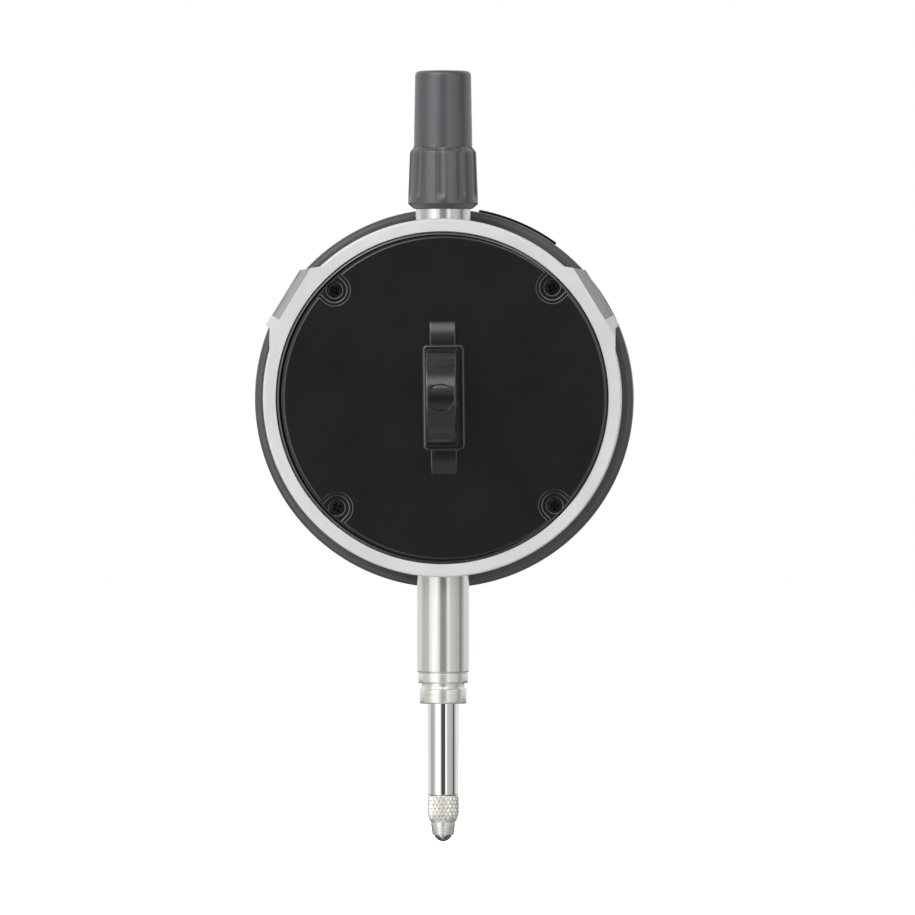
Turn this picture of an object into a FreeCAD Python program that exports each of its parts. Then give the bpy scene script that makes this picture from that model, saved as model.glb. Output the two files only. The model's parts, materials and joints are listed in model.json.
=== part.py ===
import FreeCAD, Part
import os

import Sketcher
from FreeCAD import Placement, Rotation, Vector

# Digital indicator with a back lug, a plain stem and a turning display.
# +Z runs up the spindle, the display faces -Y and the lug points to +Y.
# The origin lies on the stem axis, at the middle of its clamping length.
# Every piece is drawn about the centre of the round case and then placed.

SIZES = {
    # Case ring and front wall
    "case_radius": 27.5,
    "case_front": 6.5,
    "case_rear": 7.8,
    "case_wall": 2.0,
    "case_floor": 1.5,
    "edge_break": 0.3,
    "seat_width": 1.5,
    # Hub on which the display turns
    "hub_radius": 11.0,
    "hub_bore": 8.0,
    "hub_length": 3.2,
    "ring_groove_depth": 0.7,
    "ring_thickness": 0.6,
    "ring_height": 2.6,
    "ring_opening": 3.0,
    # Shoulders on the upper flanks of the case
    "shoulder_angle": 31.4,
    "shoulder_proud": 1.5,
    "shoulder_root": 0.3,
    "shoulder_crown": 20.2,
    "shoulder_top": 19.6,
    "shoulder_low": 11.2,
    "shoulder_knee": 10.7,
    "shoulder_knee_inset": 0.65,
    "shoulder_heel": 7.0,
    "shoulder_slope": 1.5,
    "shoulder_slope_depth": 3.6,
    "shoulder_strip_depth": 0.3,
    "shoulder_strip_margin": 0.2,
    "shoulder_strip_low": 2.8,
    # Back cover and its gasket
    "cover_thickness": 2.3,
    "cover_proud": 0.7,
    "cover_gap": 0.3,
    "cover_edge": 0.2,
    "cover_rim_width": 0.3,
    "cover_rim_drop": 1.2,
    "gasket_thickness": 0.4,
    "gasket_lobe": 2.0,
    # Cover screws in their pockets
    "screw_circle": 23.6,
    "screw_angle": 45.0,
    "screw_shank": 0.7,
    "screw_length": 4.0,
    "screw_head_radius": 1.25,
    "screw_head_height": 0.5,
    "boss_radius": 2.2,
    "pocket_radius": 2.3,
    "pocket_depth": 0.9,
    "counterbore_depth": 0.6,
    # Back lug
    "lug_thickness": 4.7,
    "lug_radius": 7.3,
    "lug_reach": 7.0,
    "lug_hole_radius": 3.25,
    "lug_foot_width": 6.3,
    "lug_foot_height": 16.6,
    "lug_foot_rise": 1.2,
    "lug_foot_round": 0.8,
    "tab_width": 4.1,
    "tab_reach": 11.8,
    "tab_rise": 1.0,
    "tab_ramp": 1.3,
    "nose_mark_radius": 2.0,
    "nose_mark_depth": 0.4,
    "lug_round": 0.4,
    # Stem and its bushes
    "stem_radius": 4.0,
    "stem_clamp": 14.7,
    "stem_root": 3.0,
    "stem_root_radius": 3.8,
    "stem_bore": 2.9,
    "bush_shank_length": 8.0,
    "bush_collar_radius": 3.83,
    "bush_collar_length": 1.65,
    "bush_neck_radius": 3.3,
    "bush_neck_length": 0.85,
    "bush_ring_radius": 3.6,
    "bush_ring_length": 2.3,
    "wiper_radius": 3.0,
    "wiper_thickness": 0.8,
    "inner_bush_length": 6.0,
    "bush_flange_radius": 3.6,
    # Spindle, contact point and stop
    "spindle_radius": 2.4,
    "spindle_exposed": 14.1,
    "spindle_top": 33.0,
    "spindle_edge": 0.2,
    "travel": 12.7,
    "point_thread_radius": 1.2,
    "point_thread_length": 4.5,
    "point_grip_length": 3.7,
    "point_shoulder": 0.5,
    "point_neck_radius": 1.8,
    "point_tip_radius": 1.65,
    "point_neck_length": 1.9,
    "ball_radius": 1.45,
    "ball_proud": 1.0,
    "stop_radius": 3.7,
    "stop_height": 3.0,
    "buffer_thickness": 1.5,
    # Sleeve and cap on top
    "sleeve_radius": 4.23,
    "sleeve_rise": 1.6,
    "sleeve_neck_radius": 3.7,
    "sleeve_neck_length": 7.4,
    "sleeve_bore": 3.25,
    "sleeve_root": 4.0,
    "upper_bush_length": 6.0,
    "cap_length": 21.3,
    "cap_skirt_length": 9.0,
    "cap_skirt_radius": 5.4,
    "cap_skirt_top_radius": 5.1,
    "cap_barrel_radius": 4.45,
    "cap_barrel_top_radius": 4.3,
    "cap_top_round": 0.7,
    "cap_foot_edge": 0.6,
    "cap_hollow_radius": 3.1,
    "cap_roof": 1.2,
    "flute_count": 10,
    "flute_angle": 7.6,
    "flute_radius": 0.75,
    "flute_depth": 0.28,
    "flute_end": 2.2,
    # Measuring carriage inside the case
    "carriage_low": -14.0,
    "carriage_height": 12.0,
    "carriage_left": 4.6,
    "carriage_front": 3.6,
    "carriage_rear": 3.2,
    "arm_reach": 8.0,
    "arm_root": 1.0,
    "arm_height": 2.0,
    "clamp_slit": 0.5,
    "slit_wall": 2.0,
    "rod_place": 12.5,
    "rod_radius": 1.0,
    "rod_cheek": 1.9,
    "holder_height": 2.0,
    "holder_rise": 7.0,
    "scale_width": 8.0,
    "scale_length": 20.0,
    "scale_thickness": 0.6,
    "scale_air": 0.2,
    "clamp_screw_radius": 0.8,
    "clamp_screw_head": 1.4,
    "spring_place": 6.2,
    "spring_radius": 1.1,
    "spring_wire": 0.18,
    "spring_turns": 14,
    "anchor_radius": 0.8,
    "anchor_height": -17.5,
    # Reader board under the cover
    "reader_width": 22.0,
    "reader_low": -21.0,
    "reader_high": 19.3,
    "reader_thickness": 1.0,
    "post_radius": 1.8,
    "post_place": 9.0,
    "post_low": -19.0,
    "post_high": 17.3,
    "cable_width": 5.0,
    "cable_thickness": 0.2,
    "cable_landing": 2.0,
    # Turning display
    "display_radius": 29.25,
    "display_gap": 0.5,
    "display_depth": 10.5,
    "display_back": 1.5,
    "display_wall": 1.8,
    "display_round": 1.0,
    "washer_width": 3.5,
    "bezel_thickness": 2.8,
    "bezel_plate": 2.3,
    "bezel_round": 1.4,
    "bezel_lip": 1.3,
    "window_width": 33.0,
    "window_height": 19.0,
    "window_centre": 5.0,
    "window_ledge": 2.0,
    "window_thickness": 1.2,
    "glass_thickness": 1.4,
    "glass_width": 32.0,
    "glass_height": 18.0,
    "frame_wall": 1.0,
    "strip_width": 1.6,
    "strip_height": 0.8,
    "board_gap": 0.65,
    "board_thickness": 0.8,
    "board_depth": 7.6,
    "board_screw_inset": 2.6,
    "board_screw_angle": 30.0,
    "board_screw_count": 3,
    # Battery tray that slides out of the rim
    "tray_angle": 23.1,
    "tray_wall": 0.8,
    "tray_depth": 4.2,
    "tray_start": 2.9,
    "tray_floor": 0.6,
    "tray_grip_width": 12.9,
    "tray_grip_depth": 2.0,
    "tray_proud": 0.4,
    "tray_channel": 4.0,
    "rail_width": 1.2,
    "rail_end": 25.0,
    "cell_radius": 10.0,
    "cell_thickness": 3.2,
    "cell_place": 15.6,
    "contact_width": 2.4,
    # Buttons under the window
    "button_spacing": 11.0,
    "button_drop": 14.5,
    "button_radius": 2.9,
    "button_proud": 0.6,
    "button_flange": 0.8,
    "button_flange_height": 0.7,
    "button_travel": 0.4,
    "dome_radius": 2.4,
    "dome_thickness": 0.2,
    # Clearances
    "run_gap": 0.05,
    "fit_gap": 0.02,
    "slide_gap": 0.1,
    "thread_gap": 0.05,
    "cut_over": 1.0,
}

doc = FreeCAD.newDocument("digital_indicator")
sheet = doc.addObject("Spreadsheet::Sheet", "Sizes")
for row, (alias, value) in enumerate(SIZES.items(), start=1):
    sheet.set(f"A{row}", alias)
    sheet.set(f"B{row}", str(value))
    sheet.setAlias(f"B{row}", alias)
doc.recompute()


class Size:
    """A length or an angle written as a formula over the cells of the sheet."""

    def __init__(self, formula):
        self.formula = formula

    def __str__(self):
        return self.formula

    def __neg__(self):
        return Size(f"(0 - {self})")

    def __add__(self, other):
        return Size(f"({self} + {other})")

    def __radd__(self, other):
        return Size(f"({other} + {self})")

    def __sub__(self, other):
        return Size(f"({self} - {other})")

    def __rsub__(self, other):
        return Size(f"({other} - {self})")

    def __mul__(self, other):
        return Size(f"({self} * {other})")

    def __rmul__(self, other):
        return Size(f"({other} * {self})")

    def __truediv__(self, other):
        return Size(f"({self} / {other})")


class Cells:
    """Gives each cell of the sheet by its alias."""

    def __getattr__(self, alias):
        return Size(f"Sizes.{alias}")


size = Cells()


def number(length):
    """The present value of a formula."""
    found = sheet.evalExpression(str(length))
    return float(getattr(found, "Value", found))


def across(angle, distance):
    return Size(f"({distance} * cos({angle}))")


def up(angle, distance):
    return Size(f"({distance} * sin({angle}))")


def far_leg(radius, leg):
    """The second leg of the right triangle that a radius makes with its first leg."""
    return Size(f"sqrt({radius} * {radius} - {leg} * {leg})")


def place(thing, turn=None):
    """Puts a piece drawn about the case centre where it belongs, turned about Y."""
    thing.Placement = Placement(Vector(0, 0, 0), Rotation(Vector(0, 1, 0), 0))
    thing.setExpression(".Placement.Base.z", str(centre_height))
    if turn is not None:
        thing.Placement = Placement(Vector(0, 0, 0), Rotation(Vector(0, 1, 0), number(turn)))
        thing.setExpression(".Placement.Rotation.Angle", str(turn))


def new_body(label, turn=None):
    body = doc.addObject("PartDesign::Body", label)
    body.Label = label
    place(body, turn)
    return body


def origin_part(body, role):
    return next(part for part in body.Origin.OriginFeatures if part.Role == role)


def new_sketch(body, role, lift=0, swing=None, spin=None):
    """A sketch on a plane of its body's origin, lifted along the plane's normal.

    swing turns the plane about its own upright axis, spin about its normal.
    """
    sketch = body.newObject("Sketcher::SketchObject", f"{body.Name}_sketch")
    sketch.AttachmentSupport = [(origin_part(body, role), "")]
    sketch.MapMode = "FlatFace"
    angle = swing if spin is None else spin
    if angle is not None:
        axis = Vector(0, 1, 0) if spin is None else Vector(0, 0, 1)
        sketch.AttachmentOffset = Placement(Vector(0, 0, 0), Rotation(axis, number(angle)))
        sketch.setExpression("AttachmentOffset.Rotation.Angle", str(angle))
    sketch.setExpression("AttachmentOffset.Base.z", str(lift))
    return sketch


def rear_view_sketch(body, depth, spin=None):
    """A sketch seen along Y, x across and y up, at the given depth."""
    return new_sketch(body, "XZ_Plane", -depth, spin=spin)


def plan_sketch(body, height=0):
    """A sketch seen from above, x across and y to the rear, at the given height."""
    return new_sketch(body, "XY_Plane", height)


def side_sketch(body, offset=0):
    """A sketch seen from the side, x to the rear and y up."""
    return new_sketch(body, "YZ_Plane", offset)


def fix_point(sketch, item, point, spot):
    """Ties a point of a sketch to its place."""
    for kind, distance in (("DistanceX", spot[0]), ("DistanceY", spot[1])):
        row = sketch.addConstraint(Sketcher.Constraint(kind, -1, 1, item, point, number(distance)))
        sketch.setExpression(f"Constraints[{row}]", str(distance))


def loop(sketch, corners):
    """A closed outline of straight lines through the corners."""
    first = sketch.GeometryCount
    spots = [Vector(number(x), number(y), 0) for x, y in corners]
    ends = spots[1:] + spots[:1]
    sketch.addGeometry([Part.LineSegment(start, end) for start, end in zip(spots, ends)], False)
    for index in range(len(corners)):
        following = first + (index + 1) % len(corners)
        sketch.addConstraint(Sketcher.Constraint("Coincident", first + index, 2, following, 1))
    for index, corner in enumerate(corners):
        fix_point(sketch, first + index, 1, corner)
    return sketch


def rectangle(sketch, left, low, right, high):
    return loop(sketch, [(left, low), (right, low), (right, high), (left, high)])


def circle(sketch, x, y, radius):
    spot = Vector(number(x), number(y), 0)
    item = sketch.addGeometry(Part.Circle(spot, Vector(0, 0, 1), number(radius)), False)
    fix_point(sketch, item, 3, (x, y))
    row = sketch.addConstraint(Sketcher.Constraint("Radius", item, number(radius)))
    sketch.setExpression(f"Constraints[{row}]", str(radius))
    return sketch


def extrude(kind, sketch, length, forwards, middle=False):
    """A pad or a pocket. forwards runs along the sketch's normal."""
    body = sketch.getParentGeoFeatureGroup()
    before = body.Shape.Volume if body.Tip else 0.0
    feature = body.newObject(f"PartDesign::{kind}", f"{body.Name}_{kind.lower()}")
    feature.Profile = sketch
    feature.setExpression("Length", str(length))
    feature.SideType = "Symmetric" if middle else "One side"
    feature.Reversed = forwards if kind == "Pocket" else not forwards
    doc.recompute()
    if abs(body.Shape.Volume - before) < 1e-6:
        raise ValueError(f"{feature.Name} changes nothing")
    return feature


def pad_rear(sketch, length):
    """Raises a rear view sketch towards +Y."""
    return extrude("Pad", sketch, length, forwards=False)


def cut_rear(sketch, length):
    """Cuts from a rear view sketch towards +Y."""
    return extrude("Pocket", sketch, length, forwards=False)


def cut_front(sketch, length):
    """Cuts from a rear view sketch towards -Y."""
    return extrude("Pocket", sketch, length, forwards=True)


def pad_up(sketch, length):
    return extrude("Pad", sketch, length, forwards=True)


def cut_up(sketch, length):
    return extrude("Pocket", sketch, length, forwards=True)


def cut_down(sketch, length):
    return extrude("Pocket", sketch, length, forwards=False)


def pad_middle(sketch, length):
    return extrude("Pad", sketch, length, forwards=True, middle=True)


def cut_middle(sketch, length):
    return extrude("Pocket", sketch, length, forwards=True, middle=True)


def revolve(sketch):
    body = sketch.getParentGeoFeatureGroup()
    feature = body.newObject("PartDesign::Revolution", f"{body.Name}_turned")
    feature.Profile = sketch
    feature.ReferenceAxis = (sketch, ["V_Axis"])
    feature.Angle = 360
    doc.recompute()
    return feature


def turned_upright(label, corners):
    """A piece turned about the spindle axis. Corners are radius and height."""
    body = new_body(label)
    revolve(loop(new_sketch(body, "XZ_Plane"), corners))
    return body


def turned_flat(label, corners, turn=None):
    """A piece turned about the Y axis. Corners are radius and depth."""
    body = new_body(label, turn)
    revolve(loop(new_sketch(body, "XY_Plane"), corners))
    return body


def around(body, features, count, role="Y_Axis"):
    feature = body.newObject("PartDesign::PolarPattern", f"{body.Name}_round")
    feature.Originals = features
    feature.Axis = (origin_part(body, role), [""])
    feature.Angle = 360
    feature.setExpression("Occurrences", str(count))
    body.Tip = feature
    doc.recompute()
    return feature


def mirrored(body, features, role="YZ_Plane"):
    feature = body.newObject("PartDesign::Mirrored", f"{body.Name}_mirror")
    feature.Originals = features
    feature.MirrorPlane = (origin_part(body, role), [""])
    body.Tip = feature
    doc.recompute()
    return feature


def edges_where(body, test):
    names = []
    for index, edge in enumerate(body.Tip.Shape.Edges, start=1):
        if test(edge):
            names.append(f"Edge{index}")
    if not names:
        raise ValueError(f"{body.Label} has no such edge")
    return names


def soften(body, kind, amount, test):
    """Rounds or bevels the edges that pass the test."""
    feature_name = f"{body.Name}_{kind.lower()}"
    base = body.Tip
    names = edges_where(body, test)
    feature = body.newObject(f"PartDesign::{kind}", feature_name)
    feature.Base = (base, names)
    feature.setExpression("Radius" if kind == "Fillet" else "Size", str(amount))
    doc.recompute()
    return feature


def is_ring(edge, radius, depth):
    """Tells an arc about the Y axis of the given radius and depth."""
    if not isinstance(edge.Curve, Part.Circle):
        return False
    middle = edge.Curve.Center
    at_depth = abs(middle.y - number(depth)) < 0.001
    centred = abs(middle.x) + abs(middle.z) < 0.001
    return at_depth and centred and abs(edge.Curve.Radius - number(radius)) < 0.001


def runs_along(edge, direction, low=0.0):
    """Tells a straight edge that is parallel to a direction and longer than low."""
    if not isinstance(edge.Curve, (Part.Line, Part.LineSegment)):
        return False
    return abs(edge.tangentAt(edge.FirstParameter).dot(direction)) > 0.999 and edge.Length > low


# Places that several pieces share
centre_height = size.case_radius + size.stem_clamp / 2
case_back = size.case_rear
case_face = -size.case_front
case_inner_face = case_face + size.case_floor
rim_radius = size.case_radius - size.case_wall
cavity_radius = rim_radius - size.seat_width
shoulder_reach = size.case_radius + size.shoulder_proud
cover_face = case_back + size.cover_proud
cover_inner_face = cover_face - size.cover_thickness
seat_depth = cover_inner_face - size.gasket_thickness
hub_end = case_face - size.hub_length
lug_centre = cover_face + size.lug_reach
lug_nose = lug_centre + size.lug_radius
pocket_floor = cover_face - size.pocket_depth
screw_seat = pocket_floor - size.counterbore_depth
stem_end = -size.case_radius - size.stem_clamp
stem_inner_end = size.stem_root - size.case_radius
bush_end = stem_end - size.bush_collar_length - size.bush_neck_length - size.bush_ring_length
spindle_end = bush_end - size.spindle_exposed
grip_end = spindle_end - size.point_grip_length
neck_start = grip_end - size.point_shoulder
neck_end = neck_start - size.point_neck_length
ball_centre = neck_end - size.ball_proud + size.ball_radius
guide_radius = size.spindle_radius + size.run_gap
sleeve_top = size.case_radius + size.sleeve_rise
cap_step = sleeve_top + size.cap_skirt_length
cap_top = sleeve_top + size.cap_length
carriage_high = size.carriage_low + size.carriage_height
scale_face = size.carriage_rear + size.scale_thickness
reader_face = scale_face + size.scale_air
reader_back = reader_face + size.reader_thickness
display_rear = case_face - size.display_gap
display_inner = display_rear - size.display_back
display_front = display_rear - size.display_depth
bezel_face = display_front - size.bezel_thickness
bezel_inner = bezel_face + size.bezel_plate
housing_bore = size.display_radius - size.display_wall
board_radius = housing_bore - size.board_gap
board_rear = display_rear - size.board_depth
board_front = board_rear - size.board_thickness
tray_rear = display_rear - size.tray_start
tray_front = tray_rear - size.tray_depth
tray_half = size.cell_radius + size.tray_wall
tray_turn = -size.tray_angle
corner = size.screw_angle


def make_case():
    """The round case: a cup with a hub in front, four screw bosses and two shoulders."""
    body = new_body("case")
    groove_radius = size.hub_radius - size.ring_groove_depth
    groove_rear = display_inner - size.slide_gap
    groove_front = groove_rear - size.ring_thickness
    revolve(loop(new_sketch(body, "XY_Plane"), [
        (size.hub_bore, hub_end),
        (size.hub_radius, hub_end),
        (size.hub_radius, groove_front),
        (groove_radius, groove_front),
        (groove_radius, groove_rear),
        (size.hub_radius, groove_rear),
        (size.hub_radius, case_face),
        (size.case_radius, case_face),
        (size.case_radius, case_back),
        (rim_radius, case_back),
        (rim_radius, seat_depth),
        (cavity_radius, seat_depth),
        (cavity_radius, case_inner_face),
        (size.hub_bore, case_inner_face),
    ]))
    add_shoulders(body)
    boss = pad_rear(circle(
        rear_view_sketch(body, case_inner_face),
        across(corner, size.screw_circle),
        up(corner, size.screw_circle),
        size.boss_radius,
    ), seat_depth - case_inner_face)
    around(body, [boss], 4)
    screw_hole = cut_front(circle(
        rear_view_sketch(body, seat_depth),
        across(corner, size.screw_circle),
        up(corner, size.screw_circle),
        size.screw_shank + size.thread_gap,
    ), size.screw_length)
    around(body, [screw_hole], 4)
    add_board_posts(body)
    cut_down(circle(plan_sketch(body), 0, 0, size.stem_root_radius + size.fit_gap), size.case_radius + size.cut_over)
    cut_up(circle(plan_sketch(body), 0, 0, size.sleeve_radius + size.fit_gap), size.case_radius + size.cut_over)
    soften(body, "Chamfer", size.edge_break, lambda edge: is_ring(edge, rim_radius, case_back))
    return body


def add_shoulders(body):
    """A raised shoulder on each upper flank, sloped towards the rear, with a sunk strip."""
    lean = size.shoulder_angle
    level_reach = shoulder_reach / Size(f"cos({lean})")
    rise = Size(f"tan({lean})")
    root = size.case_radius - size.shoulder_root
    low_corner = level_reach - size.shoulder_low * rise
    knee = low_corner - size.shoulder_knee_inset
    block = pad_rear(loop(rear_view_sketch(body, case_face), [
        (far_leg(root, size.shoulder_heel), size.shoulder_heel),
        (knee, size.shoulder_heel),
        (knee, size.shoulder_knee),
        (low_corner, size.shoulder_low),
        (level_reach - size.shoulder_top * rise, size.shoulder_top),
        (far_leg(root, size.shoulder_crown), size.shoulder_crown),
    ]), case_back - case_face)
    slope_inner = shoulder_reach - size.shoulder_slope
    slope_start = case_back - size.shoulder_slope_depth
    slope_sketch = new_sketch(body, "XY_Plane", -2 * size.shoulder_low, swing=-lean)
    slope = cut_up(loop(slope_sketch, [
        (slope_inner, case_back),
        (shoulder_reach, slope_start),
        (shoulder_reach + size.cut_over, slope_start),
        (shoulder_reach + size.cut_over, case_back + size.cut_over),
        (slope_inner, case_back + size.cut_over),
    ]), 4 * size.shoulder_low)
    margin = size.shoulder_strip_margin
    sunk = size.shoulder_strip_depth
    strip_rear = case_back - 2 * margin
    strip_sketch = new_sketch(body, "XY_Plane", -size.shoulder_strip_low, swing=-lean)
    strip = cut_up(loop(strip_sketch, [
        (slope_inner + margin, case_back + size.cut_over),
        (slope_inner + margin - sunk, strip_rear - sunk / 2),
        (shoulder_reach - margin - sunk, slope_start + margin),
        (shoulder_reach + size.cut_over, slope_start + margin),
        (shoulder_reach + size.cut_over, case_back + size.cut_over),
    ]), 4 * size.shoulder_low)
    mirrored(body, [block, slope, strip])


def add_board_posts(body):
    """Four posts that carry the reader board, drilled for its screws."""
    for height in (size.post_low, size.post_high):
        sketch = rear_view_sketch(body, case_inner_face)
        circle(sketch, size.post_place, height, size.post_radius)
        circle(sketch, -size.post_place, height, size.post_radius)
        pad_rear(sketch, reader_face - case_inner_face)
        sketch = rear_view_sketch(body, reader_face)
        circle(sketch, size.post_place, height, size.screw_shank + size.thread_gap)
        circle(sketch, -size.post_place, height, size.screw_shank + size.thread_gap)
        cut_front(sketch, size.screw_length)


def make_back_cover():
    """The black back: a disc in a lower rim, with four open screw pockets and the moulded lug."""
    outer = rim_radius - size.cover_gap
    face_radius = outer - size.cover_rim_width
    body = turned_flat("back_cover", [
        (0, cover_inner_face),
        (outer, cover_inner_face),
        (outer, cover_face - size.cover_rim_drop),
        (face_radius, cover_face - size.cover_rim_drop),
        (face_radius, cover_face - size.cover_edge),
        (face_radius - size.cover_edge, cover_face),
        (0, cover_face),
    ])
    add_lug(body)
    reach = size.screw_circle
    pocket_sketch = rear_view_sketch(body, cover_face, spin=corner)
    circle(pocket_sketch, reach, 0, size.pocket_radius)
    end = cut_front(pocket_sketch, size.pocket_depth)
    mouth = cut_front(rectangle(
        rear_view_sketch(body, cover_face, spin=corner),
        reach,
        -size.pocket_radius,
        outer + size.cut_over,
        size.pocket_radius,
    ), size.pocket_depth)
    seat = cut_front(circle(
        rear_view_sketch(body, pocket_floor, spin=corner),
        reach,
        0,
        size.screw_head_radius + size.slide_gap,
    ), size.counterbore_depth)
    hole = cut_front(circle(
        rear_view_sketch(body, screw_seat, spin=corner),
        reach,
        0,
        size.screw_shank + size.slide_gap,
    ), size.cover_thickness)
    around(body, [end, mouth, seat, hole], 4)
    return body


def add_lug(body):
    """The lug: a foot, two long tabs and a plate with a round nose and a cross hole."""
    ramp_end = size.tab_reach - size.tab_ramp
    pad_middle(loop(side_sketch(body), [
        (cover_inner_face, -size.tab_reach),
        (cover_face, -size.tab_reach),
        (cover_face + size.tab_rise, -ramp_end),
        (cover_face + size.tab_rise, ramp_end),
        (cover_face, size.tab_reach),
        (cover_inner_face, size.tab_reach),
    ]), size.tab_width)
    foot_top = cover_face + size.lug_foot_rise
    pad_rear(rectangle(
        rear_view_sketch(body, cover_inner_face),
        -size.lug_foot_width / 2,
        -size.lug_foot_height / 2,
        size.lug_foot_width / 2,
        size.lug_foot_height / 2,
    ), foot_top - cover_inner_face)
    soften(body, "Fillet", size.lug_foot_round, lambda edge: (
        runs_along(edge, Vector(0, 1, 0)) and abs(edge.CenterOfMass.x) > number(size.tab_width) / 2 + 0.01
    ))
    pad_middle(rectangle(
        side_sketch(body),
        cover_face,
        -size.lug_radius,
        lug_centre,
        size.lug_radius,
    ), size.lug_thickness)
    pad_middle(circle(side_sketch(body), lug_centre, 0, size.lug_radius), size.lug_thickness)
    soften(body, "Fillet", size.lug_round, lambda edge: (
        isinstance(edge.Curve, Part.Circle) and abs(edge.Curve.Radius - number(size.lug_radius)) < 0.001
    ))
    cut_middle(circle(side_sketch(body), lug_centre, 0, size.lug_hole_radius), 2 * size.lug_thickness)
    cut_front(circle(rear_view_sketch(body, lug_nose), 0, 0, size.nose_mark_radius), size.nose_mark_depth)


def make_gasket():
    """A flat seal on the ledge of the case, with a lobe round each cover screw."""
    inner = cavity_radius + size.slide_gap
    body = turned_flat("cover_gasket", [
        (inner, seat_depth),
        (rim_radius - size.cover_gap, seat_depth),
        (rim_radius - size.cover_gap, cover_inner_face),
        (inner, cover_inner_face),
    ])
    lobe = pad_rear(circle(
        rear_view_sketch(body, seat_depth),
        across(corner, size.screw_circle),
        up(corner, size.screw_circle),
        size.gasket_lobe - size.slide_gap,
    ), size.gasket_thickness)
    around(body, [lobe], 4)
    hole = cut_rear(circle(
        rear_view_sketch(body, seat_depth),
        across(corner, size.screw_circle),
        up(corner, size.screw_circle),
        size.screw_shank + size.slide_gap,
    ), size.gasket_thickness)
    around(body, [hole], 4)
    return body


def make_screw_set(label, spots, seat, head_radius, head_height, shank_radius, length, to_rear, turn=None):
    """Like screws in one group. Their heads sit on the seat and point to the rear or the front."""
    body = new_body(label, turn)
    heads = rear_view_sketch(body, seat)
    shanks = rear_view_sketch(body, seat)
    for x, y in spots:
        circle(heads, x, y, head_radius)
        circle(shanks, x, y, shank_radius)
    extrude("Pad", heads, head_height, forwards=not to_rear)
    extrude("Pad", shanks, length, forwards=to_rear)
    return body


def make_cover_screws():
    reach = size.screw_circle
    spots = [(reach, 0), (0, reach), (-reach, 0), (0, -reach)]
    return make_screw_set(
        "cover_screws",
        spots,
        screw_seat,
        size.screw_head_radius,
        size.screw_head_height,
        size.screw_shank,
        screw_seat - seat_depth + size.screw_length - size.slide_gap,
        to_rear=True,
        turn=corner,
    )


def make_stem_parts():
    turned_upright("stem", [
        (size.stem_bore, stem_end),
        (size.stem_radius - size.spindle_edge, stem_end),
        (size.stem_radius, stem_end + size.spindle_edge),
        (size.stem_radius, -size.case_radius),
        (size.stem_root_radius, -size.case_radius),
        (size.stem_root_radius, stem_inner_end),
        (size.stem_bore, stem_inner_end),
    ])
    shank = size.stem_bore - size.fit_gap
    collar_end = stem_end - size.bush_collar_length
    neck_low = collar_end - size.bush_neck_length
    wiper_top = bush_end + 2 * size.wiper_thickness
    wiper_low = bush_end + size.wiper_thickness
    turned_upright("lower_bush", [
        (guide_radius, bush_end),
        (size.bush_ring_radius - size.edge_break, bush_end),
        (size.bush_ring_radius, bush_end + size.edge_break),
        (size.bush_ring_radius, neck_low),
        (size.bush_neck_radius, neck_low),
        (size.bush_neck_radius, collar_end),
        (size.bush_collar_radius, collar_end),
        (size.bush_collar_radius, stem_end),
        (shank, stem_end),
        (shank, stem_end + size.bush_shank_length),
        (guide_radius, stem_end + size.bush_shank_length),
        (guide_radius, wiper_top),
        (size.wiper_radius, wiper_top),
        (size.wiper_radius, wiper_low),
        (guide_radius, wiper_low),
    ])
    turned_upright("spindle_wiper", [
        (guide_radius, wiper_low),
        (size.wiper_radius - size.fit_gap, wiper_low),
        (size.wiper_radius - size.fit_gap, wiper_top),
        (guide_radius, wiper_top),
    ])
    turned_upright("inner_bush", [
        (guide_radius, stem_inner_end - size.inner_bush_length),
        (shank, stem_inner_end - size.inner_bush_length),
        (shank, stem_inner_end),
        (size.bush_flange_radius, stem_inner_end),
        (size.bush_flange_radius, stem_inner_end + size.bush_neck_length),
        (guide_radius, stem_inner_end + size.bush_neck_length),
    ])
    buffer_low = stem_inner_end + size.bush_neck_length
    turned_upright("stop_buffer", [
        (guide_radius, buffer_low),
        (size.bush_flange_radius, buffer_low),
        (size.bush_flange_radius, buffer_low + size.buffer_thickness),
        (guide_radius, buffer_low + size.buffer_thickness),
    ])
    return buffer_low + size.buffer_thickness


def make_spindle_parts(stop_low):
    thread_hole = size.point_thread_radius + size.thread_gap
    thread_top = spindle_end + size.point_thread_length + size.thread_gap
    turned_upright("spindle", [
        (thread_hole, spindle_end),
        (size.spindle_radius - size.spindle_edge, spindle_end),
        (size.spindle_radius, spindle_end + size.spindle_edge),
        (size.spindle_radius, size.spindle_top - size.spindle_edge),
        (size.spindle_radius - size.spindle_edge, size.spindle_top),
        (0, size.spindle_top),
        (0, thread_top),
        (thread_hole, thread_top),
    ])
    socket_radius = size.ball_radius + size.fit_gap
    socket_top = ball_centre + size.ball_radius + size.fit_gap
    turned_upright("contact_point", [
        (0, socket_top),
        (socket_radius, socket_top),
        (socket_radius, neck_end),
        (size.point_tip_radius, neck_end),
        (size.point_neck_radius, neck_start),
        (size.spindle_radius, grip_end),
        (size.spindle_radius, spindle_end),
        (size.point_thread_radius, spindle_end),
        (size.point_thread_radius, spindle_end + size.point_thread_length),
        (0, spindle_end + size.point_thread_length),
    ])
    ball = doc.addObject("Part::Sphere", "contact_ball")
    ball.Label = "contact_ball"
    ball.setExpression("Radius", str(size.ball_radius))
    ball.setExpression(".Placement.Base.z", str(centre_height + ball_centre))
    turned_upright("stop_collar", [
        (size.spindle_radius + size.fit_gap, stop_low),
        (size.stop_radius, stop_low),
        (size.stop_radius, stop_low + size.stop_height),
        (size.spindle_radius + size.fit_gap, stop_low + size.stop_height),
    ])


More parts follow.
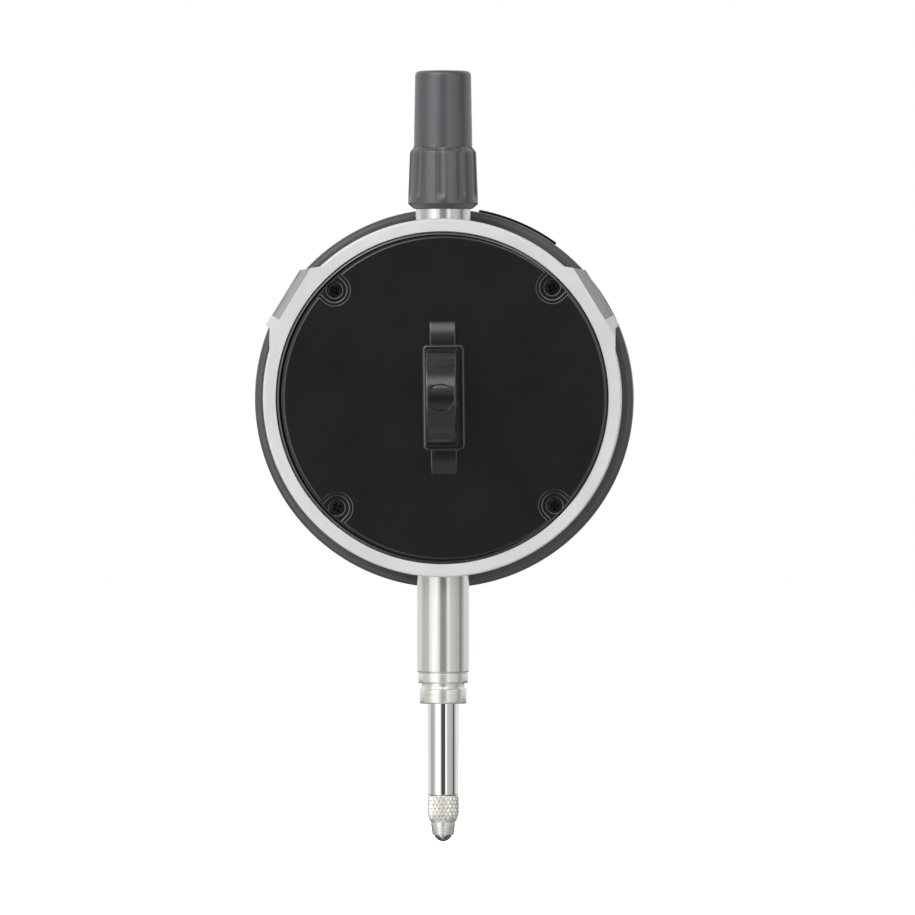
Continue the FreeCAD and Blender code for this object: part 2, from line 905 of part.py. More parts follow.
def make_top_parts():
    sleeve_low = size.case_radius - size.sleeve_root
    turned_upright("top_sleeve", [
        (size.sleeve_bore, sleeve_low),
        (size.sleeve_radius, sleeve_low),
        (size.sleeve_radius, sleeve_top),
        (size.sleeve_neck_radius, sleeve_top),
        (size.sleeve_neck_radius, sleeve_top + size.sleeve_neck_length),
        (size.sleeve_bore, sleeve_top + size.sleeve_neck_length),
    ])
    turned_upright("upper_bush", [
        (guide_radius, sleeve_low),
        (size.sleeve_bore - size.fit_gap, sleeve_low),
        (size.sleeve_bore - size.fit_gap, sleeve_low + size.upper_bush_length),
        (guide_radius, sleeve_low + size.upper_bush_length),
    ])


def make_dust_cap():
    """The pull-off cap: a fluted skirt under a smooth barrel, hollow for the spindle."""
    neck_bore = size.sleeve_neck_radius + size.run_gap
    neck_top = sleeve_top + size.sleeve_neck_length + size.slide_gap
    body = turned_upright("dust_cap", [
        (neck_bore, sleeve_top),
        (size.cap_skirt_radius - size.cap_foot_edge, sleeve_top),
        (size.cap_skirt_radius, sleeve_top + size.cap_foot_edge),
        (size.cap_skirt_top_radius, cap_step),
        (size.cap_barrel_radius, cap_step + size.cap_foot_edge),
        (size.cap_barrel_top_radius, cap_top),
        (0, cap_top),
        (0, cap_top - size.cap_roof),
        (size.cap_hollow_radius, cap_top - size.cap_roof),
        (size.cap_hollow_radius, neck_top),
        (neck_bore, neck_top),
    ])
    soften(body, "Fillet", size.cap_top_round, lambda edge: (
        isinstance(edge.Curve, Part.Circle)
        and abs(edge.Curve.Center.z - number(cap_top)) < 0.001
    ))
    flute_place = size.cap_skirt_top_radius - size.flute_depth + size.flute_radius
    flute = cut_down(circle(
        plan_sketch(body, cap_step + size.cap_foot_edge),
        up(size.flute_angle, flute_place),
        across(size.flute_angle, flute_place),
        size.flute_radius,
    ), size.cap_skirt_length + size.cap_foot_edge - size.flute_end)
    around(body, [flute], size.flute_count, role="Z_Axis")
    return body


def make_carriage():
    """The carriage: a clamp on the spindle with an eye for the guide rod and a spring arm."""
    body = new_body("scale_carriage")
    right = size.rod_place + size.rod_cheek
    pad_up(rectangle(
        plan_sketch(body, size.carriage_low),
        -size.carriage_left,
        -size.carriage_front,
        right,
        size.carriage_rear,
    ), size.carriage_height)
    pad_up(rectangle(
        plan_sketch(body, carriage_high - size.arm_height),
        -size.arm_reach,
        -size.anchor_radius,
        -size.carriage_left + size.arm_root,
        size.anchor_radius,
    ), size.arm_height)
    sketch = plan_sketch(body, size.carriage_low)
    circle(sketch, 0, 0, size.spindle_radius + size.fit_gap)
    circle(sketch, size.rod_place, 0, size.rod_radius + size.run_gap)
    cut_up(sketch, size.carriage_height)
    cut_up(rectangle(
        plan_sketch(body, size.carriage_low),
        size.spindle_radius / 2,
        -size.clamp_slit / 2,
        size.rod_place - size.rod_cheek - size.slit_wall,
        size.clamp_slit / 2,
    ), size.carriage_height)
    for height in clamp_heights():
        cut_rear(circle(
            rear_view_sketch(body, -size.carriage_front),
            clamp_place(),
            height,
            size.clamp_screw_radius + size.thread_gap,
        ), size.carriage_front + size.carriage_rear)
    return body


def clamp_place():
    return (size.spindle_radius + size.rod_place - size.rod_cheek) / 2


def clamp_heights():
    margin = size.carriage_height / 4
    return (size.carriage_low + margin, carriage_high - margin)


def make_carriage_screws():
    return make_screw_set(
        "carriage_screws",
        [(clamp_place(), height) for height in clamp_heights()],
        -size.carriage_front,
        size.clamp_screw_head,
        size.clamp_screw_radius,
        size.clamp_screw_radius,
        size.carriage_front + size.carriage_rear,
        to_rear=False,
    )


def make_scale():
    body = new_body("encoder_scale")
    middle = (size.carriage_low + carriage_high) / 2
    pad_rear(rectangle(
        rear_view_sketch(body, size.carriage_rear),
        -size.scale_width / 2,
        middle - size.scale_length / 2,
        size.scale_width / 2,
        middle + size.scale_length / 2,
    ), size.scale_thickness)
    return body


def make_guide_rod():
    low = size.carriage_low - size.slide_gap - size.holder_height
    high = carriage_high + size.travel + size.stop_height
    rod = new_body("guide_rod")
    pad_up(circle(plan_sketch(rod, low), size.rod_place, 0, size.rod_radius), high - low)
    holder = new_body("rod_holders")
    for height in (low, high - size.holder_height):
        pad_up(rectangle(
            plan_sketch(holder, height),
            size.rod_place - size.rod_cheek,
            case_inner_face,
            size.rod_place + size.rod_cheek,
            case_inner_face + size.holder_rise,
        ), size.holder_height)
    cut_up(circle(
        plan_sketch(holder, low),
        size.rod_place,
        0,
        size.rod_radius + size.fit_gap,
    ), high - low)


def make_spring_parts():
    anchor = new_body("spring_anchor")
    pad_rear(circle(
        rear_view_sketch(anchor, case_inner_face),
        -size.spring_place,
        size.anchor_height,
        size.anchor_radius,
    ), size.anchor_radius * 2 - case_inner_face)
    low = number(size.anchor_height + size.anchor_radius + size.slide_gap)
    high = number(carriage_high - size.arm_height - size.slide_gap)
    wire = number(size.spring_wire)
    radius = number(size.spring_radius)
    turns = number(size.spring_turns)
    height = high - low - 2 * wire
    coil = Part.makeHelix(height / turns, height, radius)
    start = Vector(radius, 0, 0)
    section = Part.Wire([Part.makeCircle(wire, start, Vector(0, 1, 0))])
    spring = doc.addObject("Part::Feature", "return_spring")
    spring.Label = "return_spring"
    spring.Shape = Part.Wire(coil).makePipeShell([section], True, True)
    middle = Vector(-number(size.spring_place), 0, number(centre_height) + low + wire)
    spring.Placement = Placement(middle, Rotation())


def make_reader_board():
    body = new_body("reader_board")
    pad_rear(rectangle(
        rear_view_sketch(body, reader_face),
        -size.reader_width / 2,
        size.reader_low,
        size.reader_width / 2,
        size.reader_high,
    ), size.reader_thickness)
    spots = reader_screw_spots()
    sketch = rear_view_sketch(body, reader_face)
    for x, y in spots:
        circle(sketch, x, y, size.screw_shank + size.slide_gap)
    cut_rear(sketch, size.reader_thickness)
    make_screw_set(
        "reader_screws",
        spots,
        reader_back,
        size.screw_head_radius,
        size.screw_head_height,
        size.screw_shank,
        size.reader_thickness + size.screw_length - size.slide_gap,
        to_rear=True,
    )


def reader_screw_spots():
    return [
        (side * size.post_place, height)
        for side in (1, -1)
        for height in (size.post_low, size.post_high)
    ]


def make_flex_cable():
    """The flat cable from the reader board round the carriage to the mouth of the hub."""
    body = new_body("flex_cable")
    edge = -size.reader_width / 2 - size.slide_gap
    floor = case_inner_face + size.slide_gap
    inner = size.slide_gap - far_leg(size.hub_bore, size.cable_width / 2)
    thick = size.cable_thickness
    sketch = plan_sketch(body, -size.cable_width / 2)
    pad_up(loop(sketch, [
        (edge + size.cable_landing, reader_back),
        (edge + size.cable_landing, reader_back + thick),
        (edge - thick, reader_back + thick),
        (edge - thick, floor),
        (inner, floor),
        (inner, hub_end),
        (inner + thick, hub_end),
        (inner + thick, floor + thick),
        (edge, floor + thick),
        (edge, reader_back),
    ]), size.cable_width)
    return body


def make_turning_parts():
    """The washer and the sprung ring between which the display turns."""
    turned_flat("friction_washer", [
        (size.hub_radius + size.washer_width / 2, case_face),
        (size.hub_radius + 1.5 * size.washer_width, case_face),
        (size.hub_radius + 1.5 * size.washer_width, display_rear),
        (size.hub_radius + size.washer_width / 2, display_rear),
    ])
    inner = size.hub_radius - size.ring_groove_depth + size.slide_gap
    rear = display_inner - size.slide_gap
    front = rear - size.ring_thickness
    ring = turned_flat("retaining_ring", [
        (inner, front),
        (inner + size.ring_height, front),
        (inner + size.ring_height, rear),
        (inner, rear),
    ])
    cut_rear(rectangle(
        rear_view_sketch(ring, front),
        -size.ring_opening / 2,
        -size.hub_radius - size.ring_height,
        size.ring_opening / 2,
        0,
    ), size.ring_thickness)


def board_spots():
    """Three fixing places round the display, clear of the battery tray."""
    reach = board_radius - size.board_screw_inset
    count = int(SIZES["board_screw_count"])
    step = Size("360") / size.board_screw_count
    angles = [size.board_screw_angle + turn * step for turn in range(count)]
    return [(across(angle, reach), up(angle, reach)) for angle in angles]


def make_display_housing():
    """The round shell of the display, with rails and a mouth for the battery tray."""
    bore = size.hub_radius + size.run_gap
    body = turned_flat("display_housing", [
        (bore, display_rear),
        (size.display_radius, display_rear),
        (size.display_radius, display_front),
        (housing_bore, display_front),
        (housing_bore, display_inner),
        (bore, display_inner),
    ], turn=tray_turn)
    soften(body, "Fillet", size.display_round, lambda edge: is_ring(edge, size.display_radius, display_rear))
    sketch = rear_view_sketch(body, board_rear)
    for x, y in board_spots():
        circle(sketch, x, y, size.post_radius)
    pad_rear(sketch, display_inner - board_rear)
    sketch = rear_view_sketch(body, board_rear)
    for x, y in board_spots():
        circle(sketch, x, y, size.screw_shank + size.thread_gap)
    cut_rear(sketch, size.screw_length)
    rail_edge = tray_half - size.rail_width
    sketch = rear_view_sketch(body, tray_rear + size.slide_gap)
    for side in (1, -1):
        rectangle(sketch, *sorted_pair(side, rail_edge, tray_half, size.hub_radius + size.ring_height, size.rail_end))
    pad_rear(sketch, display_inner - tray_rear - size.slide_gap)
    cut_up(rectangle(
        plan_sketch(body, housing_bore / 2),
        -tray_half - size.slide_gap,
        tray_front - size.slide_gap,
        tray_half + size.slide_gap,
        tray_rear + size.slide_gap,
    ), size.display_radius)
    return body


def sorted_pair(side, near, far, low, high):
    """The left, low, right and high limits of a box on one side of the middle."""
    if side > 0:
        return near, low, far, high
    return -far, low, -near, high


def trim_to_rim(tray, radius):
    """Cuts away what stands outside a circle about the display's centre."""
    face = rear_view_sketch(tray, tray_front)
    circle(face, 0, 0, 2 * size.display_radius)
    circle(face, 0, 0, radius)
    cut_rear(face, size.tray_depth)


def make_battery_parts():
    """The tray with its curved lid, the coin cell in it and the contacts above it."""
    tray = new_body("battery_tray", tray_turn)
    lid_top = size.display_radius + size.tray_proud
    round_end = rear_view_sketch(tray, tray_front)
    circle(round_end, 0, size.cell_place, tray_half)
    pad_rear(round_end, size.tray_depth)
    pad_rear(rectangle(
        rear_view_sketch(tray, tray_front),
        -tray_half,
        size.cell_place,
        tray_half,
        lid_top,
    ), size.tray_depth)
    trim_to_rim(tray, size.display_radius)
    pad_rear(rectangle(
        rear_view_sketch(tray, tray_front),
        -size.tray_grip_width / 2,
        size.display_radius - size.tray_grip_depth,
        size.tray_grip_width / 2,
        lid_top,
    ), size.tray_depth)
    trim_to_rim(tray, lid_top)
    cut_rear(circle(
        rear_view_sketch(tray, tray_front),
        0,
        size.cell_place,
        size.cell_radius + size.slide_gap,
    ), size.tray_depth - size.tray_floor)
    cut_rear(rectangle(
        rear_view_sketch(tray, tray_front),
        -size.tray_channel / 2,
        0,
        size.tray_channel / 2,
        size.cell_place,
    ), size.tray_depth - size.tray_floor)
    cell = new_body("coin_cell", tray_turn)
    cell_rear = tray_rear - size.tray_floor
    pad_rear(circle(
        rear_view_sketch(cell, cell_rear - size.cell_thickness),
        0,
        size.cell_place,
        size.cell_radius,
    ), size.cell_thickness)
    soften(cell, "Chamfer", size.edge_break, lambda edge: isinstance(edge.Curve, Part.Circle))
    contact = new_body("battery_contact", tray_turn)
    contact_rear = cell_rear - size.cell_thickness - size.slide_gap
    pad_rear(rectangle(
        rear_view_sketch(contact, board_rear),
        -size.contact_width / 2,
        size.cell_place - size.cell_radius / 2,
        size.contact_width / 2,
        size.cell_place + size.cell_radius / 2,
    ), contact_rear - board_rear)


def make_main_board():
    board = new_body("main_board", tray_turn)
    pad_rear(circle(rear_view_sketch(board, board_front), 0, 0, board_radius), size.board_thickness)
    sketch = rear_view_sketch(board, board_front)
    for x, y in board_spots():
        circle(sketch, x, y, size.screw_shank + size.slide_gap)
    cut_rear(sketch, size.board_thickness)
    make_screw_set(
        "board_screws",
        board_spots(),
        board_front,
        size.screw_head_radius,
        size.screw_head_height,
        size.screw_shank,
        size.board_thickness + size.screw_length - size.slide_gap,
        to_rear=False,
        turn=tray_turn,
    )


def centred_box(sketch, width, height, middle):
    return rectangle(sketch, -width / 2, middle - height / 2, width / 2, middle + height / 2)


def make_screen_parts():
    """The screen stack on the main board: frame, rubber contact strips and glass."""
    middle = size.window_centre
    stack_front = board_front - size.strip_height - size.glass_thickness
    frame = new_body("screen_frame")
    outer_width = size.glass_width + 2 * size.slide_gap + 2 * size.frame_wall
    outer_height = size.glass_height + 2 * size.slide_gap + 2 * size.frame_wall
    depth = board_front - stack_front
    pad_rear(centred_box(rear_view_sketch(frame, stack_front), outer_width, outer_height, middle), depth)
    cut_rear(centred_box(
        rear_view_sketch(frame, stack_front),
        size.glass_width + 2 * size.slide_gap,
        size.glass_height + 2 * size.slide_gap,
        middle,
    ), depth)
    glass = new_body("screen_glass")
    pad_rear(centred_box(
        rear_view_sketch(glass, stack_front),
        size.glass_width,
        size.glass_height,
        middle,
    ), size.glass_thickness)
    strips = new_body("contact_strips")
    sketch = rear_view_sketch(strips, board_front - size.strip_height)
    for side in (1, -1):
        place_up = middle + side * (size.glass_height - size.strip_width) / 2
        centred_box(sketch, size.glass_width, size.strip_width, place_up)
    pad_rear(sketch, size.strip_height)


def button_spots():
    return {
        "button_left": size.button_spacing,
        "button_middle": Size("0"),
        "button_right": -size.button_spacing,
    }


def make_bezel():
    """The front of the display, with the window recess and three button holes."""
    lip_inner = housing_bore - size.bezel_lip - size.slide_gap
    body = turned_flat("front_bezel", [
        (0, bezel_inner),
        (lip_inner, bezel_inner),
        (lip_inner, display_front + size.bezel_lip),
        (housing_bore - size.slide_gap, display_front + size.bezel_lip),
        (housing_bore - size.slide_gap, display_front),
        (size.display_radius, display_front),
        (size.display_radius, bezel_face),
        (0, bezel_face),
    ])
    soften(body, "Fillet", size.bezel_round, lambda edge: is_ring(edge, size.display_radius, bezel_face))
    gap = 2 * size.slide_gap
    cut_rear(centred_box(
        rear_view_sketch(body, bezel_face),
        size.window_width + gap,
        size.window_height + gap,
        size.window_centre,
    ), size.window_thickness)
    cut_rear(centred_box(
        rear_view_sketch(body, bezel_face),
        size.window_width - size.window_ledge,
        size.window_height - size.window_ledge,
        size.window_centre,
    ), size.bezel_thickness)
    sketch = rear_view_sketch(body, bezel_face)
    for x in button_spots().values():
        circle(sketch, x, -size.button_drop, size.button_radius + size.slide_gap)
    cut_rear(sketch, size.bezel_thickness)
    window = new_body("window")
    pad_rear(centred_box(
        rear_view_sketch(window, bezel_face),
        size.window_width,
        size.window_height,
        size.window_centre,
    ), size.window_thickness)


def make_buttons():
    """Each button has a round cap, a flange behind the bezel and a peg over its dome."""
    domes = new_body("switch_domes")
    dome_sketch = rear_view_sketch(domes, board_front - size.dome_thickness)
    flange_front = bezel_inner + size.slide_gap
    peg_end = board_front - size.dome_thickness - size.button_travel - size.run_gap
    for label, x in button_spots().items():
        circle(dome_sketch, x, -size.button_drop, size.dome_radius)
        button = new_body(label)
        cap_face = bezel_face - size.button_proud
        pad_rear(circle(
            rear_view_sketch(button, cap_face),
            x,
            -size.button_drop,
            size.button_radius,
        ), flange_front - cap_face)
        pad_rear(circle(
            rear_view_sketch(button, flange_front),
            x,
            -size.button_drop,
            size.button_radius + size.button_flange,
        ), size.button_flange_height)
        pad_rear(circle(
            rear_view_sketch(button, flange_front),
            x,
            -size.button_drop,
            size.button_radius / 2,
        ), peg_end - flange_front)
        soften(button, "Fillet", size.edge_break, lambda edge: (
            isinstance(edge.Curve, Part.Circle)
            and abs(edge.Curve.Center.y - number(cap_face)) < 0.001
        ))
    pad_rear(dome_sketch, size.dome_thickness)


def make_all():
    make_case()
    make_back_cover()
    make_gasket()
    make_cover_screws()
    stop_low = make_stem_parts()
    make_spindle_parts(stop_low)
    make_top_parts()
    make_dust_cap()
    make_carriage()
    make_carriage_screws()
    make_scale()
    make_guide_rod()
    make_spring_parts()
    make_reader_board()
    make_flex_cable()
    make_turning_parts()
    make_display_housing()
    make_battery_parts()
    make_main_board()
    make_screen_parts()
    make_bezel()
    make_buttons()


def sub_parts():
    """Every piece that is written: the bodies and the plain solids, by label."""
    kinds = ("PartDesign::Body", "Part::Sphere", "Part::Feature")
    return [thing for thing in doc.Objects if thing.TypeId in kinds]


def check_all():
    """Stops if any object failed, or a piece is missing, broken or empty."""
    for thing in doc.Objects:
        if "Invalid" in thing.State or "Error" in thing.State:
            raise ValueError(f"{thing.Label} failed")
    for thing in sub_parts():
        shape = thing.Shape
        if shape.isNull() or not shape.isValid() or shape.Volume <= 0:
            raise ValueError(f"{thing.Label} has no sound shape")


def write_all():
    os.makedirs("parts", exist_ok=True)
    for thing in sub_parts():
        thing.Shape.exportStep(f"parts/{thing.Label}.step")
        print(thing.Label, len(thing.Shape.Solids), round(thing.Shape.Volume, 3))


make_all()
doc.recompute()
check_all()
write_all()
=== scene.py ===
import json
import math

import bmesh
import bpy
from mathutils import Matrix, Vector


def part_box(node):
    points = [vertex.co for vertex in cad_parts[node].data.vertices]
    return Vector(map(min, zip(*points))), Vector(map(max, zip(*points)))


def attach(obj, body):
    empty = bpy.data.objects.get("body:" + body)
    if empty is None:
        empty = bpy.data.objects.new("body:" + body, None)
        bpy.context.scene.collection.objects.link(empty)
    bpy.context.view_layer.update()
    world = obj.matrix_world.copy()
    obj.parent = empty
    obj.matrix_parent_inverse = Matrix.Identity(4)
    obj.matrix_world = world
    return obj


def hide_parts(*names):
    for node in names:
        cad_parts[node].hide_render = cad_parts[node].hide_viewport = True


# A digital indicator seen from behind: black cover with a lug, silver case ring,
# dark turning display, fluted cap, ground stem and a polished spindle.
# Lengths below are millimetres; MM turns them into metres when a mesh is made.

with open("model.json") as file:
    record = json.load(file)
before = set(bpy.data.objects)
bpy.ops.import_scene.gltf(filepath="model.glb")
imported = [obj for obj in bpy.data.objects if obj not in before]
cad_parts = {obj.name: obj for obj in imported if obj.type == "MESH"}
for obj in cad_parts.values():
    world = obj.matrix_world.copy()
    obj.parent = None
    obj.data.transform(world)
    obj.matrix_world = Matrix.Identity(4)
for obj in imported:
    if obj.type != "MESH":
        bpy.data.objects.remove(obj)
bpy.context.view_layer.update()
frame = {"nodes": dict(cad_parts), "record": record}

MM = 0.001
NODES = frame["nodes"]


def low(node):
    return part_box(node)[0] / MM


def high(node):
    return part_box(node)[1] / MM


# Main places, read from the frame
CENTRE = (low("main_board").z + high("main_board").z) / 2
CASE_RADIUS = CENTRE - low("case").z
DISPLAY_RADIUS = high("display_housing").x
PHOTO_SIDE = 915.0
PHOTO_CENTRE = (443.1, 398.0)
PHOTO_SCALE = 6.5


class Field:
    """A value that runs through a node tree. Sums of it add Math nodes."""

    def __init__(self, nodes, socket):
        self.nodes = nodes
        self.socket = socket

    def __add__(self, other):
        return self.nodes.maths("ADD", self, other)

    __radd__ = __add__

    def __mul__(self, other):
        return self.nodes.maths("MULTIPLY", self, other)

    def __sub__(self, other):
        return self.nodes.maths("SUBTRACT", self, other)

    def __rsub__(self, other):
        return self.nodes.maths("SUBTRACT", other, self)

    def __truediv__(self, other):
        return self.nodes.maths("DIVIDE", self, other)

    def __pow__(self, other):
        return self.nodes.maths("POWER", self, other)


class NodeTree:
    """Adds nodes to a shader or a geometry tree and links them."""

    def __init__(self, tree):
        self.tree = tree

    def add(self, kind, settings=None, **inputs):
        """One node. Settings come first; an input is named by its socket, with _ for a space."""
        node = self.tree.nodes.new(kind)
        for key, setting in (settings or {}).items():
            setattr(node, key, setting)
        for key, given in inputs.items():
            self.feed(node.inputs[key.replace("_", " ")], given)
        return node

    def feed(self, socket, given):
        if isinstance(given, Field):
            given = given.socket
        if isinstance(given, bpy.types.NodeSocket):
            self.tree.links.new(given, socket)
        else:
            socket.default_value = given

    def out(self, node, key=0):
        return Field(self, node.outputs[key])

    def maths(self, operation, *values):
        node = self.tree.nodes.new("ShaderNodeMath")
        node.operation = operation
        for socket, given in zip(node.inputs, values):
            self.feed(socket, given)
        return Field(self, node.outputs[0])

    def clamp(self, value):
        return self.maths("MINIMUM", self.maths("MAXIMUM", value, 0.0), 1.0)

    def vector(self, *values):
        """Three values as one vector."""
        node = self.add("ShaderNodeCombineXYZ")
        for socket, given in zip(node.inputs, values):
            self.feed(socket, given)
        return self.out(node)

    def split(self, vector):
        """The x, y and z of a vector."""
        node = self.add("ShaderNodeSeparateXYZ", None, Vector=vector)
        return [self.out(node, axis) for axis in range(3)]

    def move(self, shape, place):
        """The shape with each point set on its place."""
        return self.add("GeometryNodeSetPosition", None, Geometry=shape, Position=place)

    def close(self, shape, *finishes):
        """Ends a geometry tree: realizes the copies and gives them their material."""
        whole = self.out(self.add("GeometryNodeRealizeInstances", None, Geometry=self.out(shape)))
        for finish, *selection in [entry if isinstance(entry, tuple) else (entry,) for entry in finishes]:
            dressing = self.add("GeometryNodeSetMaterial", None, Geometry=whole, Material=FINISHES[finish])
            if selection:
                self.feed(dressing.inputs["Selection"], selection[0])
            whole = self.out(dressing)
        self.add("NodeGroupOutput", None, Geometry=whole)

    def step(self, value, start, end):
        """Runs from 0 to 1 as the value goes from start to end."""
        node = self.add("ShaderNodeMapRange", {"clamp": True}, Value=value)
        node.inputs["From Min"].default_value = start
        node.inputs["From Max"].default_value = end
        return self.out(node)


class Finish(NodeTree):
    """A material with one Principled shader whose looks are worked out over the surface."""

    def __init__(self, name, colour, roughness, metallic=0.0, **plain):
        self.material = bpy.data.materials.new(name)
        self.material.use_nodes = True
        super().__init__(self.material.node_tree)
        self.shader = self.tree.nodes["Principled BSDF"]
        self.colour = (*colour, 1.0)
        self.shader.inputs["Base Color"].default_value = self.colour
        self.shader.inputs["Roughness"].default_value = roughness
        self.shader.inputs["Metallic"].default_value = metallic
        for key, setting in plain.items():
            self.shader.inputs[key.replace("_", " ")].default_value = setting
        self.material.diffuse_color = self.colour
        place = self.add("ShaderNodeTexCoord")
        self.place = self.out(place, "Object")

    def stretched(self, *scale):
        """The place on the piece, scaled along each axis."""
        return self.out(self.add("ShaderNodeMapping", None, Vector=self.place, Scale=scale))

    def noise(self, size_mm, detail=2.0, place=None):
        """Noise whose lumps are about size_mm across."""
        scale = 1.0 / (size_mm * MM)
        node = self.add("ShaderNodeTexNoise", None, Vector=place or self.place, Scale=scale, Detail=detail)
        return self.out(node, "Fac")

    def mixed(self, share, first, second):
        """A colour between two colours."""
        node = self.add("ShaderNodeMix", {"data_type": "RGBA"})
        self.feed(node.inputs[0], share)
        self.feed(node.inputs[6], (*first, 1.0))
        self.feed(node.inputs[7], (*second, 1.0))
        return Field(self, node.outputs[2])

    def set(self, key, value):
        self.feed(self.shader.inputs[key], value)

    def relief(self, height, distance_mm, strength=1.0):
        """Raises the surface by a height from 0 to 1 times the distance."""
        node = self.add("ShaderNodeBump", None, Height=height, Distance=distance_mm * MM, Strength=strength)
        if self.shader.inputs["Normal"].is_linked:
            self.feed(node.inputs["Normal"], self.shader.inputs["Normal"].links[0].from_socket)
        self.tree.links.new(node.outputs["Normal"], self.shader.inputs["Normal"])

    def mottle(self, colour_low, colour_high, size_mm, rough_low, rough_high):
        """Uneven colour and gloss, the ground of every finish."""
        patches = self.noise(size_mm, detail=4.0)
        share = self.step(patches, 0.3, 0.7)
        self.set("Base Color", self.mixed(share, colour_low, colour_high))
        self.set("Roughness", share * (rough_high - rough_low) + rough_low)


def satin_alloy():
    """The light silver of the case, with a fine blasted grain."""
    finish = Finish("satin_silver", (0.64, 0.65, 0.65), 0.45, 0.4)
    finish.mottle((0.625, 0.635, 0.632), (0.665, 0.675, 0.672), 6.0, 0.42, 0.5)
    finish.relief(finish.noise(0.22, detail=3.0), 0.01, 0.4)
    return finish.material


def painted_shade_strip_alloy():
    """The metal of the shoulders' sunk strips: a coarser, duller grain, and a darker colour that is painted
    shade of the sunk, sloped strip.
    """
    finish = Finish("sunk_silver", (0.33, 0.34, 0.34), 0.5, 0.3)
    finish.mottle((0.31, 0.32, 0.32), (0.36, 0.37, 0.37), 2.0, 0.5, 0.6)
    finish.relief(finish.noise(0.15, detail=3.0), 0.02, 0.4)
    return finish.material


def moulded(name, dark, light, rough_low, rough_high, grain_mm=0.18, relief_mm=0.012, shine=0.5, bend=1.5):
    """Moulded plastic: a faint eroded texture, uneven gloss and a little colour drift."""
    finish = Finish(name, light, rough_low, 0.0, Specular_IOR_Level=shine, IOR=bend)
    finish.mottle(dark, light, 9.0, rough_low, rough_high)
    finish.relief(finish.noise(grain_mm, detail=3.0), relief_mm, 0.5)
    finish.relief(finish.noise(7.0, detail=1.0), 0.02, 0.15)
    return finish.material


def ground_steel():
    """Bright ground steel, with fine streaks drawn along the axis."""
    finish = Finish("ground_steel", (0.8, 0.79, 0.77), 0.2, 0.82)
    streaks = finish.noise(0.35, detail=4.0, place=finish.stretched(1.0, 1.0, 0.012))
    share = finish.step(streaks, 0.35, 0.7)
    finish.set("Base Color", finish.mixed(share, (0.80, 0.79, 0.76), (0.70, 0.685, 0.65)))
    finish.set("Roughness", share * 0.06 + 0.17)
    finish.relief(streaks, 0.01, 0.5)
    return finish.material


def turned_steel():
    """Turned steel: fine rings round the axis, a little warmer than the stem."""
    finish = Finish("turned_steel", (0.88, 0.85, 0.79), 0.26, 0.75)
    rings = finish.noise(0.09, detail=3.0, place=finish.stretched(0.02, 0.02, 1.0))
    share = finish.step(rings, 0.3, 0.7)
    finish.set("Base Color", finish.mixed(share, (0.86, 0.84, 0.79), (0.77, 0.75, 0.70)))
    finish.set("Roughness", share * 0.08 + 0.22)
    finish.relief(rings, 0.003, 0.4)
    return finish.material


def knurl_root():
    """A dark grey painted into the grooves of the knurl as their shade, with a dull gloss."""
    finish = Finish("knurl_root", (0.14, 0.12, 0.10), 0.5, 0.5)
    finish.mottle((0.11, 0.095, 0.08), (0.17, 0.15, 0.13), 0.5, 0.45, 0.6)
    finish.relief(finish.noise(0.06), 0.003, 0.4)
    return finish.material


def polished_steel():
    """Polished spindle steel with faint rub marks along its travel."""
    finish = Finish("polished_steel", (0.88, 0.87, 0.85), 0.08, 1.0)
    marks = finish.noise(0.5, detail=3.0, place=finish.stretched(1.0, 1.0, 0.03))
    share = finish.step(marks, 0.5, 0.85)
    finish.set("Base Color", finish.mixed(share, (0.88, 0.87, 0.85), (0.80, 0.79, 0.77)))
    finish.set("Roughness", share * 0.06 + 0.06)
    finish.relief(marks, 0.002, 0.3)
    return finish.material


def lapped_steel():
    """The ball's hard steel, lapped but not bright."""
    finish = Finish("lapped_steel", (0.8, 0.79, 0.76), 0.2, 1.0)
    finish.mottle((0.78, 0.77, 0.74), (0.84, 0.83, 0.80), 0.8, 0.16, 0.22)
    finish.relief(finish.noise(0.05), 0.0005, 0.3)
    return finish.material


def turned_brass():
    finish = Finish("turned_brass", (0.72, 0.56, 0.28), 0.3, 1.0)
    finish.mottle((0.62, 0.47, 0.22), (0.75, 0.6, 0.32), 2.0, 0.25, 0.4)
    finish.relief(finish.noise(0.1), 0.005, 0.4)
    return finish.material


def soft_rubber():
    finish = Finish("soft_rubber", (0.02, 0.02, 0.02), 0.7)
    finish.mottle((0.015, 0.015, 0.015), (0.03, 0.03, 0.03), 2.0, 0.6, 0.8)
    finish.relief(finish.noise(0.1), 0.02, 0.4)
    return finish.material


def circuit_board():
    """Green laminate with a faint weave."""
    finish = Finish("circuit_board", (0.02, 0.16, 0.07), 0.4)
    finish.mottle((0.015, 0.12, 0.05), (0.03, 0.2, 0.09), 3.0, 0.3, 0.45)
    finish.relief(finish.noise(0.3, detail=2.0), 0.02, 0.4)
    return finish.material


def clear_window():
    """The clear front window with faint wipe marks."""
    finish = Finish("clear_window", (0.98, 0.99, 0.99), 0.04, 0.0, Transmission_Weight=1.0, IOR=1.49)
    marks = finish.noise(3.0, detail=4.0)
    finish.set("Roughness", finish.step(marks, 0.5, 0.9) * 0.08 + 0.02)
    return finish.material


def screen_ground():
    """The pale grey-green ground of a reflective screen."""
    finish = Finish("screen_ground", (0.42, 0.46, 0.38), 0.3, 0.0, Coat_Weight=0.4)
    finish.mottle((0.39, 0.43, 0.35), (0.45, 0.49, 0.41), 8.0, 0.25, 0.35)
    finish.relief(finish.noise(0.08), 0.003, 0.3)
    return finish.material


def screen_ink():
    """The dark segments of the screen's figures."""
    finish = Finish("screen_ink", (0.02, 0.022, 0.02), 0.35)
    finish.mottle((0.015, 0.017, 0.015), (0.03, 0.032, 0.03), 1.0, 0.3, 0.4)
    return finish.material


